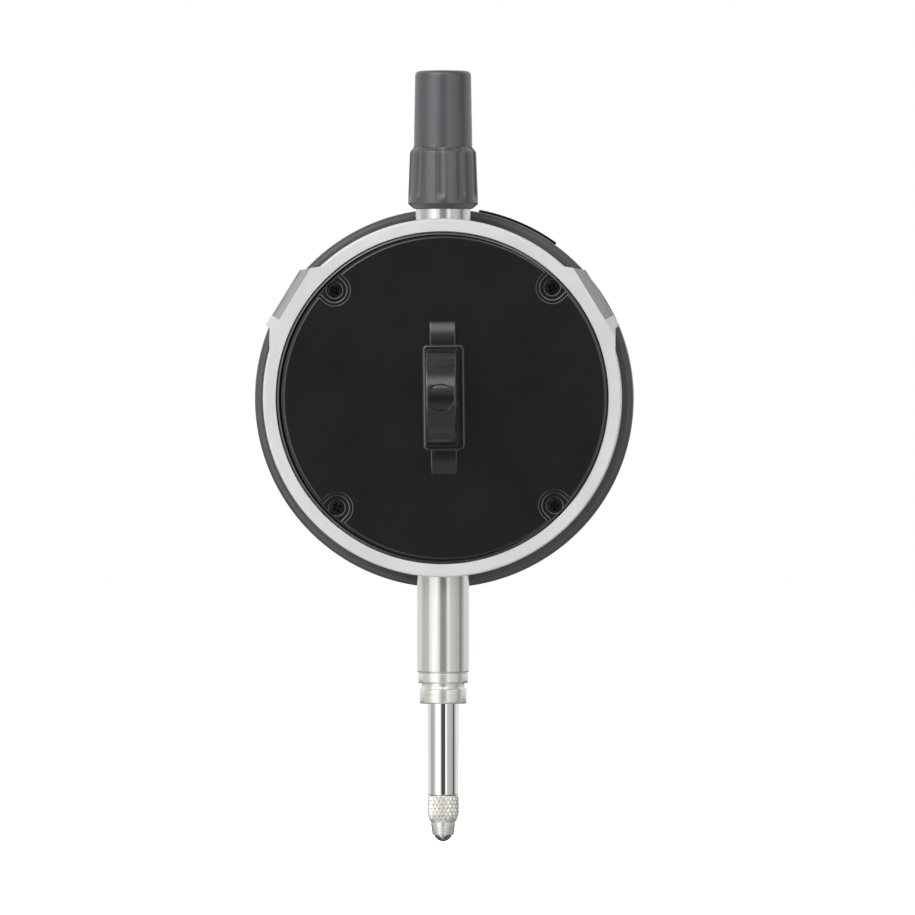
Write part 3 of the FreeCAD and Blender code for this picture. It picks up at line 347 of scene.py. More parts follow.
FINISHES = {
    "satin_alloy": satin_alloy(),
    # Painted shade: the darker metal for the sunk strips of the shoulders.
    "painted_shade_strip_alloy": painted_shade_strip_alloy(),
    "black_cover": moulded(
        "black_cover", (0.0028, 0.0036, 0.0038), (0.0036, 0.0046, 0.0048), 0.17, 0.2, shine=1.0, bend=1.59
    ),
    "black_screw": moulded(
        "black_screw", (0.0015, 0.0015, 0.0016), (0.003, 0.003, 0.003), 0.14, 0.22, shine=0.8
    ),
    "rubber": soft_rubber(),
    "ground_steel": ground_steel(),
    "turned_steel": turned_steel(),
    # Painted shade for the grooves of the knurl.
    "knurl_root": knurl_root(),
    "polished_steel": polished_steel(),
    "lapped_steel": lapped_steel(),
    "bearing_brass": turned_brass(),
    "bearing_plastic": moulded("bearing_plastic", (0.7, 0.7, 0.66), (0.78, 0.78, 0.74), 0.35, 0.45),
    "circuit_board": circuit_board(),
    "grey_housing": moulded("grey_housing", (0.06, 0.062, 0.067), (0.066, 0.068, 0.073), 0.33, 0.38),
    "clear_window": clear_window(),
    "screen": screen_ground(),
    "screen_ink": screen_ink(),
    "button_plastic": moulded("button_plastic", (0.16, 0.16, 0.17), (0.2, 0.2, 0.21), 0.35, 0.5),
    "cap_plastic": moulded(
        "cap_plastic", (0.048, 0.050, 0.055), (0.056, 0.058, 0.064), 0.27, 0.33, shine=1.0, bend=1.52
    ),
}


def rounded(corners, turns=4):
    """An outline through (x, y, round) corners, each round made an arc."""
    points = []
    count = len(corners)
    for index, (x, y, radius) in enumerate(corners):
        here = Vector((x, y))
        if radius <= 0:
            points.append(here)
            continue
        before = (Vector(corners[index - 1][:2]) - here).normalized()
        after = (Vector(corners[(index + 1) % count][:2]) - here).normalized()
        opening = before.angle(after)
        reach = radius / math.tan(opening / 2)
        middle = here + (before + after).normalized() * (radius / math.sin(opening / 2))
        start = here + before * reach - middle
        sweep = start.angle_signed(here + after * reach - middle)
        for step in range(turns + 1):
            points.append(middle + Matrix.Rotation(-sweep * step / turns, 2) @ start)
    return points


def rounded_box(left, right, bottom, top, radius, turns=4):
    """The outline of a rectangle with rounded corners."""
    corners = [(left, bottom, radius), (right, bottom, radius), (right, top, radius), (left, top, radius)]
    return rounded(corners, turns)


def scene_object(name, data):
    """A new object, put into the scene."""
    thing = bpy.data.objects.new(name, data)
    bpy.context.scene.collection.objects.link(thing)
    return thing


def mesh_object(name, corners, faces, finish):
    """A smooth-shaded mesh from corners in millimetres, with its doubles merged."""
    mesh = bpy.data.meshes.new(name)
    mesh.from_pydata([Vector(corner) * MM for corner in corners], [], faces)
    tidy(mesh)
    mesh.materials.append(FINISHES[finish])
    return scene_object(name, mesh)


def tidy(mesh, sharp_degrees=32):
    """Merges doubles, turns the normals outward and keeps only the sharp edges sharp."""
    work = bmesh.new()
    work.from_mesh(mesh)
    bmesh.ops.remove_doubles(work, verts=work.verts, dist=1e-7)
    bmesh.ops.dissolve_degenerate(work, edges=work.edges, dist=1e-7)
    bmesh.ops.recalc_face_normals(work, faces=work.faces)
    work.to_mesh(mesh)
    work.free()
    mesh.shade_smooth()
    mesh.set_sharp_from_angle(angle=math.radians(sharp_degrees))


def lathe(name, outline, finish, axis="Z", steps=160, middle=(0, 0)):
    """A closed outline of (radius, height) points turned about the spindle or the Y axis."""
    corners = []
    faces = []
    count = len(outline)
    for step in range(steps):
        angle = 2 * math.pi * step / steps
        for radius, height in outline:
            across_x = radius * math.cos(angle) + middle[0]
            across_z = radius * math.sin(angle)
            if axis == "Z":
                corners.append((across_x, across_z, height))
            else:
                corners.append((across_x, height, across_z + middle[1]))
        following = (step + 1) % steps
        for index in range(count):
            after = (index + 1) % count
            faces.append((
                step * count + index,
                step * count + after,
                following * count + after,
                following * count + index,
            ))
    return mesh_object(name, corners, faces, finish)


def tube_faces(count):
    """The end faces and side faces between two outlines that follow each other."""
    faces = [tuple(range(count)), tuple(range(2 * count - 1, count - 1, -1))]
    for index in range(count):
        after = (index + 1) % count
        faces.append((index, index + count, after + count, after))
    return faces


def prism(name, outline, start, end, finish, axis="Y", bevel=0.0):
    """An outline pushed along an axis. For Y it lies in x and z, for X in y and z, for Z in x and y."""
    place = "XYZ".index(axis)
    corners = []
    for depth in (start, end):
        for point in outline:
            corner = list(point)
            corner.insert(place, depth)
            corners.append(corner)
    piece = mesh_object(name, corners, tube_faces(len(outline)), finish)
    if bevel:
        soften(piece, bevel)
    return piece


def settle(piece):
    """Makes the shape with its modifiers the plain mesh of the piece."""
    graph = bpy.context.evaluated_depsgraph_get()
    mesh = bpy.data.meshes.new_from_object(piece.evaluated_get(graph))
    piece.modifiers.clear()
    piece.data = mesh


def soften(piece, width, segments=3, angle=40):
    """Rounds the edges that are sharper than the angle."""
    modifier = piece.modifiers.new("soft_edges", "BEVEL")
    modifier.width = width * MM
    modifier.segments = segments
    modifier.limit_method = "ANGLE"
    modifier.angle_limit = math.radians(angle)
    settle(piece)
    tidy(piece.data)


def join(piece, tools, operation):
    """Cuts the tools from the piece or adds them to it, and removes them."""
    for tool in tools:
        modifier = piece.modifiers.new("shape", "BOOLEAN")
        modifier.operation = operation
        modifier.solver = "EXACT"
        modifier.material_mode = "TRANSFER"
        modifier.object = tool
    settle(piece)
    for tool in tools:
        bpy.data.objects.remove(tool)
    tidy(piece.data)
    return piece


def put(piece, body, slot, *nodes):
    """Sets a finished piece on its body, in place of CAD nodes, with its flat faces shaded flat."""
    modifier = piece.modifiers.new("even_normals", "WEIGHTED_NORMAL")
    modifier.keep_sharp = True
    settle(piece)
    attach(piece, body)
    if nodes:
        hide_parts(*nodes)


# Camera


def make_camera():
    """A long lens looking at the back, a little from the photograph's right."""
    distance = 2000.0
    yaw = math.radians(1.1)
    right, down = ((PHOTO_SIDE / 2 - middle) / PHOTO_SCALE for middle in PHOTO_CENTRE)
    target = Vector((-right, 0.0, CENTRE - down))
    back = Vector((-math.sin(yaw), math.cos(yaw), 0.0))
    camera = scene_object("photo_camera", bpy.data.cameras.new("photo_camera"))
    camera.location = (target + back * distance) * MM
    camera.rotation_euler = (-back).to_track_quat("-Z", "Y").to_euler()
    camera.data.sensor_width = 36.0
    camera.data.lens = 36.0 * distance / (PHOTO_SIDE / PHOTO_SCALE)
    camera.data.clip_start = 0.01
    camera.data.clip_end = 20.0
    bpy.context.scene.camera = camera


def area_light(name, place, target, width, height, power):
    data = bpy.data.lights.new(name, "AREA")
    data.shape = "RECTANGLE"
    data.size = width
    data.size_y = height
    data.energy = power
    light = scene_object(name, data)
    light.location = place
    light.rotation_euler = (Vector(place) - Vector(target)).to_track_quat("Z", "Y").to_euler()
    light.visible_glossy = False


def make_lights():
    """A soft key above the camera's left, a weaker light from its right and one for the display's front.

    Gloss sees the world instead.
    """
    middle = (0.0, 0.0, CENTRE * MM)
    area_light("key_light", (0.65, 0.98, 0.62), middle, 0.7, 0.6, 13.3)
    area_light("fill_light", (-0.85, 0.75, 0.2), middle, 0.6, 0.8, 3.5)
    area_light("front_light", (0.3, -1.0, 0.6), middle, 0.8, 0.8, 9.0)


def band(nodes, value, start, end, soft):
    """1 where the value lies between start and end, fading over the soft width."""
    return nodes.step(value, start - soft, start + soft) * (1.0 - nodes.step(value, end - soft, end + soft))


def make_world():
    """A white studio whose glossy side has panels, a dark gap round the camera and a dim floor side."""
    world = bpy.data.worlds.new("studio")
    bpy.context.scene.world = world
    world.use_nodes = True
    nodes = NodeTree(world.node_tree)
    background = world.node_tree.nodes["Background"]
    path = nodes.add("ShaderNodeLightPath")
    camera_ray = nodes.out(path, "Is Camera Ray")
    glossy_ray = nodes.out(path, "Is Glossy Ray")
    through_ray = nodes.out(path, "Is Transmission Ray")
    way_x, way_y, way_z = nodes.split(nodes.out(nodes.add("ShaderNodeTexCoord"), "Generated"))
    turn = nodes.maths("ARCTAN2", way_x * -1.0, way_y) * (180 / math.pi)
    rise = nodes.maths("ARCSINE", way_z) * (180 / math.pi)
    panels = 0.84 + band(nodes, turn, -62.0, -17.0, 5.0) * 0.15
    panels = panels + band(nodes, turn, -50.0, -25.0, 5.0) * 0.38
    panels = panels + band(nodes, turn, 19.0, 29.0, 2.0) * 0.4
    panels = panels - band(nodes, turn, 31.0, 108.0, 3.0) * 0.28
    panels = panels - band(nodes, turn, 62.0, 98.0, 7.0) * 0.12
    panels = panels - band(nodes, turn, 79.0, 93.0, 3.0) * 0.36
    panels = panels - band(nodes, turn, -106.0, -65.0, 5.0) * 0.38
    column = band(nodes, turn, -13.0, 17.0, 2.5)
    gap = column * (band(nodes, rise, -12.0, 7.0, 4.0) * 0.2 + 0.56)
    softbox = band(nodes, rise, 28.0, 47.0, 8.0) * band(nodes, turn, -68.0, 25.0, 8.0) * 1.9 * (1.0 - column)
    softbox = softbox + column * band(nodes, rise, 24.0, 46.0, 7.0) * 1.15
    above = nodes.step(rise, 66.0, 78.0) * (0.5 - column * 0.3)
    behind = nodes.step(way_y * -1.0, 0.2, 0.45)
    above = above + nodes.step(rise, 36.0, 56.0) * behind * 0.4
    below = nodes.step(rise * -1.0, 3.0, 5.0) * behind * 0.9
    deep = nodes.step(rise * -1.0, 14.0, 26.0) * 0.3 + nodes.step(rise * -1.0, 45.0, 62.0) * 0.26
    deep = deep * (1.0 - behind) * (1.0 - column)
    glossy_level = nodes.maths("MAXIMUM", panels - gap + softbox - above - below - deep, 0.04)
    plain_level = 0.45
    seen = nodes.maths("MAXIMUM", camera_ray, through_ray)
    level = seen + (1.0 - seen) * (glossy_ray * glossy_level + (1.0 - glossy_ray) * plain_level)
    nodes.feed(background.inputs["Strength"], level)
    background.inputs["Color"].default_value = (1.0, 1.0, 1.0, 1.0)


def make_floor():
    """A pale floor under the hanging indicator."""
    material = bpy.data.materials.new("pale_floor")
    material.use_nodes = True
    nodes = NodeTree(material.node_tree)
    shader = material.node_tree.nodes["Principled BSDF"]
    path = nodes.add("ShaderNodeLightPath")
    through = nodes.add("ShaderNodeBsdfTransparent")
    pick = nodes.add("ShaderNodeMixShader")
    nodes.feed(pick.inputs[0], nodes.out(path, "Is Glossy Ray"))
    material.node_tree.links.new(shader.outputs[0], pick.inputs[1])
    material.node_tree.links.new(through.outputs[0], pick.inputs[2])
    material.node_tree.links.new(pick.outputs[0], material.node_tree.nodes["Material Output"].inputs[0])
    shader.inputs["Base Color"].default_value = (0.85, 0.85, 0.85, 1.0)
    shader.inputs["Roughness"].default_value = 0.9
    shader.inputs["Specular IOR Level"].default_value = 0.1
    shader.inputs["Emission Color"].default_value = (1.0, 1.0, 1.0, 1.0)
    nodes.feed(shader.inputs["Emission Strength"], nodes.out(path, "Is Camera Ray") * 0.6)
    reach = 6.0
    height = (low("contact_ball").z - 18.0) * MM
    mesh = bpy.data.meshes.new("pale_floor")
    corners = [(x * reach, y * reach, height) for x, y in ((-1, -1), (1, -1), (1, 1), (-1, 1))]
    mesh.from_pydata(corners, [], [(0, 1, 2, 3)])
    mesh.materials.append(material)
    scene_object("pale_floor", mesh)


# Case

CASE_REAR = high("case").y
CASE_FRONT = -6.5
HUB_END = low("case").y
CASE_WALL = 2.0
SEAT_DEPTH = low("cover_gasket").y


def make_case():
    """The silver ring with its front wall, hub and two sloped shoulders."""
    inner = CASE_RADIUS - CASE_WALL
    outline = rounded([
        (8.0, HUB_END, 0),
        (10.3, HUB_END, 0.1),
        (10.3, CASE_FRONT, 0),
        (CASE_RADIUS, CASE_FRONT, 0.3),
        (CASE_RADIUS, CASE_REAR, 0.34),
        (inner, CASE_REAR, 0.1),
        (inner, SEAT_DEPTH, 0),
        (inner - 1.5, SEAT_DEPTH, 0),
        (inner - 1.5, CASE_FRONT + 1.5, 0),
        (8.0, CASE_FRONT + 1.5, 0),
    ])
    case = lathe("case_ring", outline, "satin_alloy", axis="Y", steps=256)
    raise_to_centre(case)
    shoulders = [shoulder(side) for side in (1, -1)]
    join(case, shoulders, "UNION")
    put(case, "body", "satin_alloy", "case")


def raise_to_centre(piece):
    """Moves a mesh drawn about the case centre up to it."""
    piece.data.transform(Matrix.Translation((0, 0, CENTRE * MM)))
    return piece


SHOULDER_LEAN = math.radians(31.4)
SHOULDER_REACH = CASE_RADIUS + 1.5
SHOULDER_SLOPE = 1.5
SHOULDER_SLOPE_DEPTH = 3.6


def leaned(distance, depth, along, side):
    """A point at a distance along the shoulder's normal and some way along its flat."""
    x = distance * math.cos(SHOULDER_LEAN) - along * math.sin(SHOULDER_LEAN)
    z = distance * math.sin(SHOULDER_LEAN) + along * math.cos(SHOULDER_LEAN)
    return (side * x, depth, z)


def shoulder(side):
    """One shoulder: a prism with a sloped rear face and a sunk strip along it."""
    crown, top, low_end, knee, heel = 20.2, 19.6, 11.2, 10.7, 7.0
    level = SHOULDER_REACH / math.cos(SHOULDER_LEAN)
    rise = math.tan(SHOULDER_LEAN)
    root = CASE_RADIUS - 0.3
    knee_x = level - low_end * rise - 0.65
    outline = [
        (math.sqrt(root ** 2 - heel ** 2), heel),
        (knee_x, heel),
        (knee_x, knee),
        (level - low_end * rise, low_end),
        (level - top * rise, top),
        (math.sqrt(root ** 2 - crown ** 2), crown),
    ]
    outline = [(side * x, z) for x, z in outline]
    block = prism("shoulder", outline, CASE_FRONT, CASE_REAR, "satin_alloy")
    slope_inner = SHOULDER_REACH - SHOULDER_SLOPE
    slope_start = CASE_REAR - SHOULDER_SLOPE_DEPTH
    wedge = [
        (slope_inner, CASE_REAR),
        (SHOULDER_REACH, slope_start),
        (SHOULDER_REACH + 2, slope_start),
        (SHOULDER_REACH + 2, CASE_REAR + 2),
        (slope_inner, CASE_REAR + 2),
    ]
    along = Vector((SHOULDER_SLOPE, -SHOULDER_SLOPE_DEPTH)).normalized()
    inward = Vector((along.y, -along.x))
    start = Vector((slope_inner, CASE_REAR)) + along * 0.15
    end = Vector((SHOULDER_REACH, slope_start)) - along * 0.2
    strip = [start + inward * 0.16, end + inward * 0.16, end - inward * 2, start - inward * 2]
    tools = [
        leaned_cutter("slope", wedge, -20, 20, side, "satin_alloy"),
        # The strip's cut faces take the strip finish, whose darker colour is painted shade of the sunk, sloped
        # strip.
        leaned_cutter("strip", strip, -2.8, 20, side, "painted_shade_strip_alloy"),
    ]
    join(block, tools, "DIFFERENCE")
    return raise_to_centre(block)


def leaned_cutter(name, outline, start, end, side, finish):
    """A prism along the shoulder's flat, from an outline of distances and depths."""
    corners = [leaned(d, y, start, side) for d, y in outline] + [leaned(d, y, end, side) for d, y in outline]
    return mesh_object(name, corners, tube_faces(len(outline)), finish)


# Back cover with its lug

COVER_RADIUS = high("back_cover").x
COVER_FACE = SEAT_DEPTH + 0.4 + 2.3
COVER_TURN = math.radians(0.66)
COVER_SHIFT = -0.38
SCREW_CIRCLE = 23.6
SCREW_COUNT = 4
POCKET_FLOOR = COVER_FACE - 0.9
SCREW_SEAT = POCKET_FLOOR - 0.6
LUG_NOSE = high("back_cover").y
LUG_RADIUS = 7.3
NOSE_ROUND = 7.75
LUG_HALF = 2.35
LUG_SHIFT = 0.17
PLATE_OFFSET = 0.1
FOOT_OFFSET = -0.1


def make_cover():
    """The black cover: a raised face inside a thin rim, screw pockets that end at the rim, and the lug."""
    flange_radius = COVER_RADIUS - 0.1
    face_radius = COVER_RADIUS - 0.46
    outline = rounded([
        (0, SEAT_DEPTH + 0.4, 0),
        (flange_radius, SEAT_DEPTH + 0.4, 0),
        (flange_radius, COVER_FACE - 1.2, 0.08),
        (face_radius, COVER_FACE - 1.2, 0.05),
        (face_radius, COVER_FACE, 0.26),
        (0, COVER_FACE, 0),
    ])
    cover = lathe("cover_plate", outline, "black_cover", axis="Y", steps=256)
    cutters = [cutter(turn) for cutter in (pocket_cutter, screw_bore) for turn in range(SCREW_COUNT)]
    join(cover, cutters, "DIFFERENCE")
    lug = [lug_tabs(), lug_foot(), lug_plate()]
    for piece in lug:
        slide(piece, LUG_SHIFT)
    join(cover, lug, "UNION")
    seated(cover)
    rim_outline = rounded([
        (COVER_RADIUS - 0.19, SEAT_DEPTH + 0.5, 0),
        (COVER_RADIUS + 0.08, SEAT_DEPTH + 0.5, 0),
        (COVER_RADIUS + 0.08, COVER_FACE - 0.62, 0.03),
        (COVER_RADIUS - 0.19, COVER_FACE - 0.52, 0.03),
    ])
    rim = lathe("rim", rim_outline, "black_cover", axis="Y", steps=256)
    join(cover, [rim], "UNION")
    raise_to_centre(cover)
    put(cover, "body", "black_cover", "back_cover")


def slide(piece, distance):
    """Moves a mesh along X."""
    piece.data.transform(Matrix.Translation((distance * MM, 0, 0)))


def seated(piece):
    """The cover sits a little turned and to one side in its seat, and its screws with it."""
    piece.data.transform(Matrix.Rotation(COVER_TURN, 4, "Y"))
    slide(piece, COVER_SHIFT)
    return piece


def turned_spot(turn):
    """A turn about Y by an eighth and so many quarters, with -Y towards the display."""
    return Matrix.Rotation(math.radians(45 + 90 * turn), 4, "Y")


def pocket_cutter(turn):
    """A U-shaped pocket, open to the rim, stepped by two narrow slopes."""
    rings = [
        (1.82, POCKET_FLOOR),
        (1.84, COVER_FACE - 0.32),
        (2.02, COVER_FACE - 0.25),
        (2.04, COVER_FACE - 0.25),
        (2.38, COVER_FACE - 0.26),
        (2.4, COVER_FACE - 0.07),
        (2.6, COVER_FACE + 0.01),
        (2.6, COVER_FACE + 0.3),
    ]
    corners = []
    faces = []
    turns = 24
    count = turns + 3
    for radius, depth in rings:
        for step in range(turns + 1):
            angle = math.pi / 2 + math.pi * step / turns
            corners.append((SCREW_CIRCLE + radius * math.cos(angle), depth, radius * math.sin(angle)))
        corners.append((COVER_RADIUS + 2, depth, -radius))
        corners.append((COVER_RADIUS + 2, depth, radius))
    for level in range(len(rings) - 1):
        for index in range(count):
            after = (index + 1) % count
            first = level * count
            faces.append((first + index, first + after, first + count + after, first + count + index))
    faces.append(tuple(range(count)))
    faces.append(tuple(range(len(corners) - 1, len(corners) - count - 1, -1)))
    piece = mesh_object("pocket", corners, faces, "black_cover")
    piece.data.transform(turned_spot(turn))
    return piece


def screw_bore(turn):
    """The counterbore and hole for one cover screw."""
    outline = [
        (0, SEAT_DEPTH),
        (0.8, SEAT_DEPTH),
        (0.8, SCREW_SEAT),
        (1.2, SCREW_SEAT),
        (1.2, POCKET_FLOOR - 0.08),
        (1.4, POCKET_FLOOR),
        (1.65, POCKET_FLOOR + 0.1),
        (0, POCKET_FLOOR + 0.1),
    ]
    piece = lathe("bore", outline, "black_cover", axis="Y", steps=48, middle=(SCREW_CIRCLE, 0))
    piece.data.transform(turned_spot(turn))
    return piece


def lug_tabs():
    """The long tab under the lug, ramped down at both ends."""
    reach, level_reach, lip, rise = 11.8, 7.6, 0.25, 1.0
    outline = [(COVER_FACE - 1.0, -reach)]
    turns = 12
    for step in range(-turns, turns + 1):
        share = abs(step) / turns
        along = level_reach + (reach - level_reach) * share
        outline.append((COVER_FACE + rise - (rise - lip) * share ** 3, math.copysign(along, step or 1)))
    outline.insert(turns + 1, (COVER_FACE + rise, -level_reach))
    outline.append((COVER_FACE - 1.0, reach))
    return prism("tabs", outline, -2.05, 2.05, "black_cover", axis="X", bevel=0.25)


def lug_foot():
    """The rounded pad from which the lug rises."""
    half_x, half_z = 3.3, 8.18
    outline = rounded_box(-half_x, half_x, -half_z, half_z, 0.9, turns=8)
    foot = prism("foot", outline, COVER_FACE - 1.0, COVER_FACE + 1.2, "black_cover", bevel=0.42)
    slide(foot, FOOT_OFFSET)
    root_x, root_z = LUG_HALF + 0.2, LUG_RADIUS + 0.25
    root = rounded_box(-root_x, root_x, -root_z, root_z, 0.5, turns=8)
    step = prism("root", root, COVER_FACE, COVER_FACE + 1.9, "black_cover", bevel=0.4)
    slide(step, PLATE_OFFSET)
    return join(foot, [step], "UNION")


def cross_disc(name, middle, radius):
    """A disc that lies across the lug, along X."""
    outline = []
    for step in range(96):
        angle = 2 * math.pi * step / 96
        outline.append((middle + radius * math.cos(angle), radius * math.sin(angle)))
    return prism(name, outline, -5, 5, "black_cover", axis="X")


def lug_plate():
    """The upright plate with a round nose, a cross hole and a round mark on the nose."""
    outline = [(COVER_FACE, -LUG_RADIUS), (COVER_FACE, LUG_RADIUS)]
    turns = 48
    widest = math.asin(LUG_RADIUS / NOSE_ROUND)
    for step in range(turns + 1):
        angle = widest - 2 * widest * step / turns
        outline.append((LUG_NOSE - NOSE_ROUND * (1 - math.cos(angle)), NOSE_ROUND * math.sin(angle)))
    plate = prism("plate", outline, -LUG_HALF, LUG_HALF, "black_cover", axis="X", bevel=0.3)
    hole = cross_disc("hole", LUG_NOSE - LUG_RADIUS, 3.25)
    join(plate, [hole, nose_cutter(0, 2.05, 0.12), nose_cutter(1.93, 2.07, 0.3)], "DIFFERENCE")
    soften(plate, 0.05, segments=2, angle=50)
    slide(plate, PLATE_OFFSET)
    return plate


def nose_cutter(inner, outer, depth):
    """A ring that cuts so deep into the round nose."""
    inside, outside = LUG_NOSE - 1.5, LUG_NOSE + 0.5
    outline = [(inner, inside), (outer, inside), (outer, outside), (inner, outside)]
    ring = lathe("mark", outline, "black_cover", axis="Y", steps=64)
    core = cross_disc("core", LUG_NOSE - NOSE_ROUND, NOSE_ROUND - depth)
    return join(ring, [core], "DIFFERENCE")


# Cover screws


def make_cover_screws():
    """Four small pan-head screws with cross recesses, set round the cover by a node tree."""
    end, top = low("cover_screws").y, high("cover_screws").y
    outline = rounded([
        (0, end, 0),
        (0.7, end, 0),
        (0.7, SCREW_SEAT, 0),
        (1.17, SCREW_SEAT, 0),
        (1.17, top - 0.14, 0.1),
        (0.95, top, 0.1),
        (0, top, 0),
    ])
    screw = lathe("screw", outline, "black_screw", axis="Y", steps=48)
    arms = []
    for turn in (0, 1):
        shape = [(-0.3, top - 0.6), (0.3, top - 0.6), (0.85, top + 0.1), (-0.85, top + 0.1)]
        arm = prism("arm", shape, -0.17, 0.17, "black_screw", axis="Z")
        arm.data.transform(Matrix.Rotation(math.radians(20 + 90 * turn), 4, "Y"))
        arms.append(arm)
    join(screw, arms, "DIFFERENCE")
    screws = repeat_round("cover_screw_set", screw, SCREW_COUNT, SCREW_CIRCLE, math.radians(45), "black_screw")
    raise_to_centre(seated(screws))
    put(screws, "body", "black_screw", "cover_screws")


def run_tree(piece, tree, values):
    """Runs a node tree once on a piece with the values of its inputs."""
    modifier = piece.modifiers.new("nodes", "NODES")
    modifier.node_group = tree
    for item in tree.interface.items_tree:
        if item.in_out == "INPUT" and item.name in values:
            modifier[item.identifier] = values[item.name]
    settle(piece)


def new_tree(tree, inputs):
    """Gives a tree its named inputs and its geometry sockets."""
    tree.interface.new_socket("Geometry", in_out="INPUT", socket_type="NodeSocketGeometry")
    for name, kind in inputs.items():
        tree.interface.new_socket(name, in_out="INPUT", socket_type=kind)
    tree.interface.new_socket("Geometry", in_out="OUTPUT", socket_type="NodeSocketGeometry")
    nodes = NodeTree(tree)
    return nodes, nodes.add("NodeGroupInput")


def start_copies(name, *lengths):
    """A tree with a template, a count and named lengths, and its row of points with their index."""
    tree = bpy.data.node_groups.new(f"{name}_nodes", "GeometryNodeTree")
    inputs = {"Template": "NodeSocketObject", "Count": "NodeSocketInt"}
    inputs.update({length: "NodeSocketFloat" for length in lengths})
    nodes, given = new_tree(tree, inputs)
    points = nodes.add("GeometryNodeMeshLine", {"mode": "OFFSET"}, Count=nodes.out(given, "Count"))
    index = nodes.out(nodes.add("GeometryNodeInputIndex"))
    return nodes, given, nodes.out(points), index


def repeat_round(name, template, count, radius, start, finish):
    """Sets copies of a template evenly on a circle about Y, each driven in by its own turn."""
    nodes, given, points, index = start_copies(name, "Radius", "Start")
    own_turn = -1.7
    angle = index * (2 * math.pi) / nodes.out(given, "Count") + nodes.out(given, "Start")
    reach = nodes.out(given, "Radius")
    spot = nodes.vector(nodes.maths("COSINE", angle) * reach, 0.0, nodes.maths("SINE", angle) * reach)
    values = {"Template": template, "Count": count, "Radius": radius * MM, "Start": start}
    turn = nodes.vector(0.0, angle * own_turn)
    return set_copies(name, nodes, given, nodes.move(points, spot), finish, values, Rotation=turn)


def repeat_along(name, template, count, first, spacing, finish):
    """Sets copies of a template in a row along X."""
    nodes, given, points, index = start_copies(name, "First", "Spacing")
    spot = nodes.vector(index * nodes.out(given, "Spacing") + nodes.out(given, "First"))
    values = {"Template": template, "Count": count, "First": first * MM, "Spacing": spacing * MM}
    return set_copies(name, nodes, given, nodes.move(points, spot), finish, values)


def set_copies(name, nodes, given, points, finish, values, **turned):
    """Ends a repeating tree, runs it and removes the template."""
    template = nodes.add("GeometryNodeObjectInfo", None, Object=nodes.out(given, "Template"))
    shape = nodes.out(template, "Geometry")
    copies = nodes.add("GeometryNodeInstanceOnPoints", None, Points=nodes.out(points), Instance=shape, **turned)
    nodes.close(copies, finish)
    piece = scene_object(name, bpy.data.meshes.new(name))
    run_tree(piece, nodes.tree, values)
    bpy.data.objects.remove(values["Template"])
    tidy(piece.data)
    return piece


# Display


def make_display():
    """The dark shell with the tray mouth in its rim."""
    rear = high("display_housing").y
    join_depth = low("display_housing").y
    wall, hub_bore = 1.8, 11.05
    outline = rounded([
        (hub_bore, rear, 0),
        (DISPLAY_RADIUS, rear, 1.0),
        (DISPLAY_RADIUS, join_depth, 0.15),
        (DISPLAY_RADIUS - wall, join_depth, 0),
        (DISPLAY_RADIUS - wall, rear - 1.5, 0),
        (hub_bore, rear - 1.5, 0),
    ], turns=8)
    shell = lathe("display_shell", outline, "grey_housing", axis="Y", steps=256)
    half = 10.9
    mouth = prism("mouth", [(-half, 14), (half, 14), (half, 32), (-half, 32)], -14.2, -9.8, "grey_housing")
    mouth.data.transform(Matrix.Rotation(math.radians(-23.1), 4, "Y"))
    join(shell, [mouth], "DIFFERENCE")
    raise_to_centre(shell)
    put(shell, "display", "grey_housing", "display_housing")


# Spindle line


def make_stem():
    """The plain clamping stem."""
    low_end, top_end = low("stem").z, high("stem").z
    outline = rounded([
        (2.9, low_end, 0),
        (4.0, low_end, 0.18),
        (4.0, top_end, 0),
        (2.9, top_end, 0),
    ])
    stem = lathe("stem_tube", outline, "ground_steel", steps=128)
    put(stem, "body", "ground_steel", "stem")


def make_lower_bush():
    """The bush below the stem: collar, neck and ring."""
    stem_end = low("stem").z
    end = low("lower_bush").z
    ring_top = end + 2.3
    neck_top = ring_top + 0.85
    outline = rounded([
        (2.45, end, 0.1),
        (3.6, end, 0.25),
        (3.6, ring_top - 0.14, 0.03),
        (3.46, ring_top + 0.02, 0.02),
        (3.4, ring_top + 0.02, 0),
        (3.3, ring_top + 0.24, 0.05),
        (3.3, neck_top, 0.05),
        (3.83, neck_top, 0.2),
        (3.83, stem_end - 0.12, 0.12),
        (3.6, stem_end - 0.12, 0),
        (3.6, stem_end + 0.2, 0),
        (2.45, stem_end + 0.2, 0),
    ])
    bush = lathe("stem_bush", outline, "turned_steel", steps=128)
    put(bush, "body", "ground_steel", "lower_bush")


def make_spindle():
    """The polished rod."""
    low_end, top_end = low("spindle").z, high("spindle").z
    outline = rounded([
        (0, low_end, 0),
        (2.4, low_end, 0.15),
        (2.4, top_end, 0.2),
        (0, top_end, 0),
    ])
    spindle = lathe("spindle_rod", outline, "polished_steel", steps=128)
    put(spindle, "spindle", "polished_steel", "spindle")


def make_contact_point():
    """The screw-in point: a knurled grip above a tapered neck."""
    top = low("spindle").z
    grip_low = top - 3.7
    neck_top = grip_low - 0.5
    neck_low = low("contact_point").z
    neck = rounded([
        (0, neck_low + 0.6, 0),
        (1.45, neck_low + 0.6, 0),
        (1.45, neck_low, 0),
        (1.62, neck_low, 0.06),
        (1.86, neck_top - 0.3, 0.1),
        (1.88, neck_top, 0.1),
        (1.85, grip_low + 0.3, 0),
        (2.1, grip_low + 1.3, 0),
        (2.15, top - 0.2, 0),
        (2.1, top - 0.05, 0),
        (0, top - 0.05, 0),
    ])
    core = lathe("point_core", neck, "turned_steel", steps=96)
    knurl = make_knurl(neck_top + 0.02, top - 0.06)
    join(core, [knurl], "UNION")
    core.name = "contact_tip"
    put(core, "spindle", "ground_steel", "contact_point")


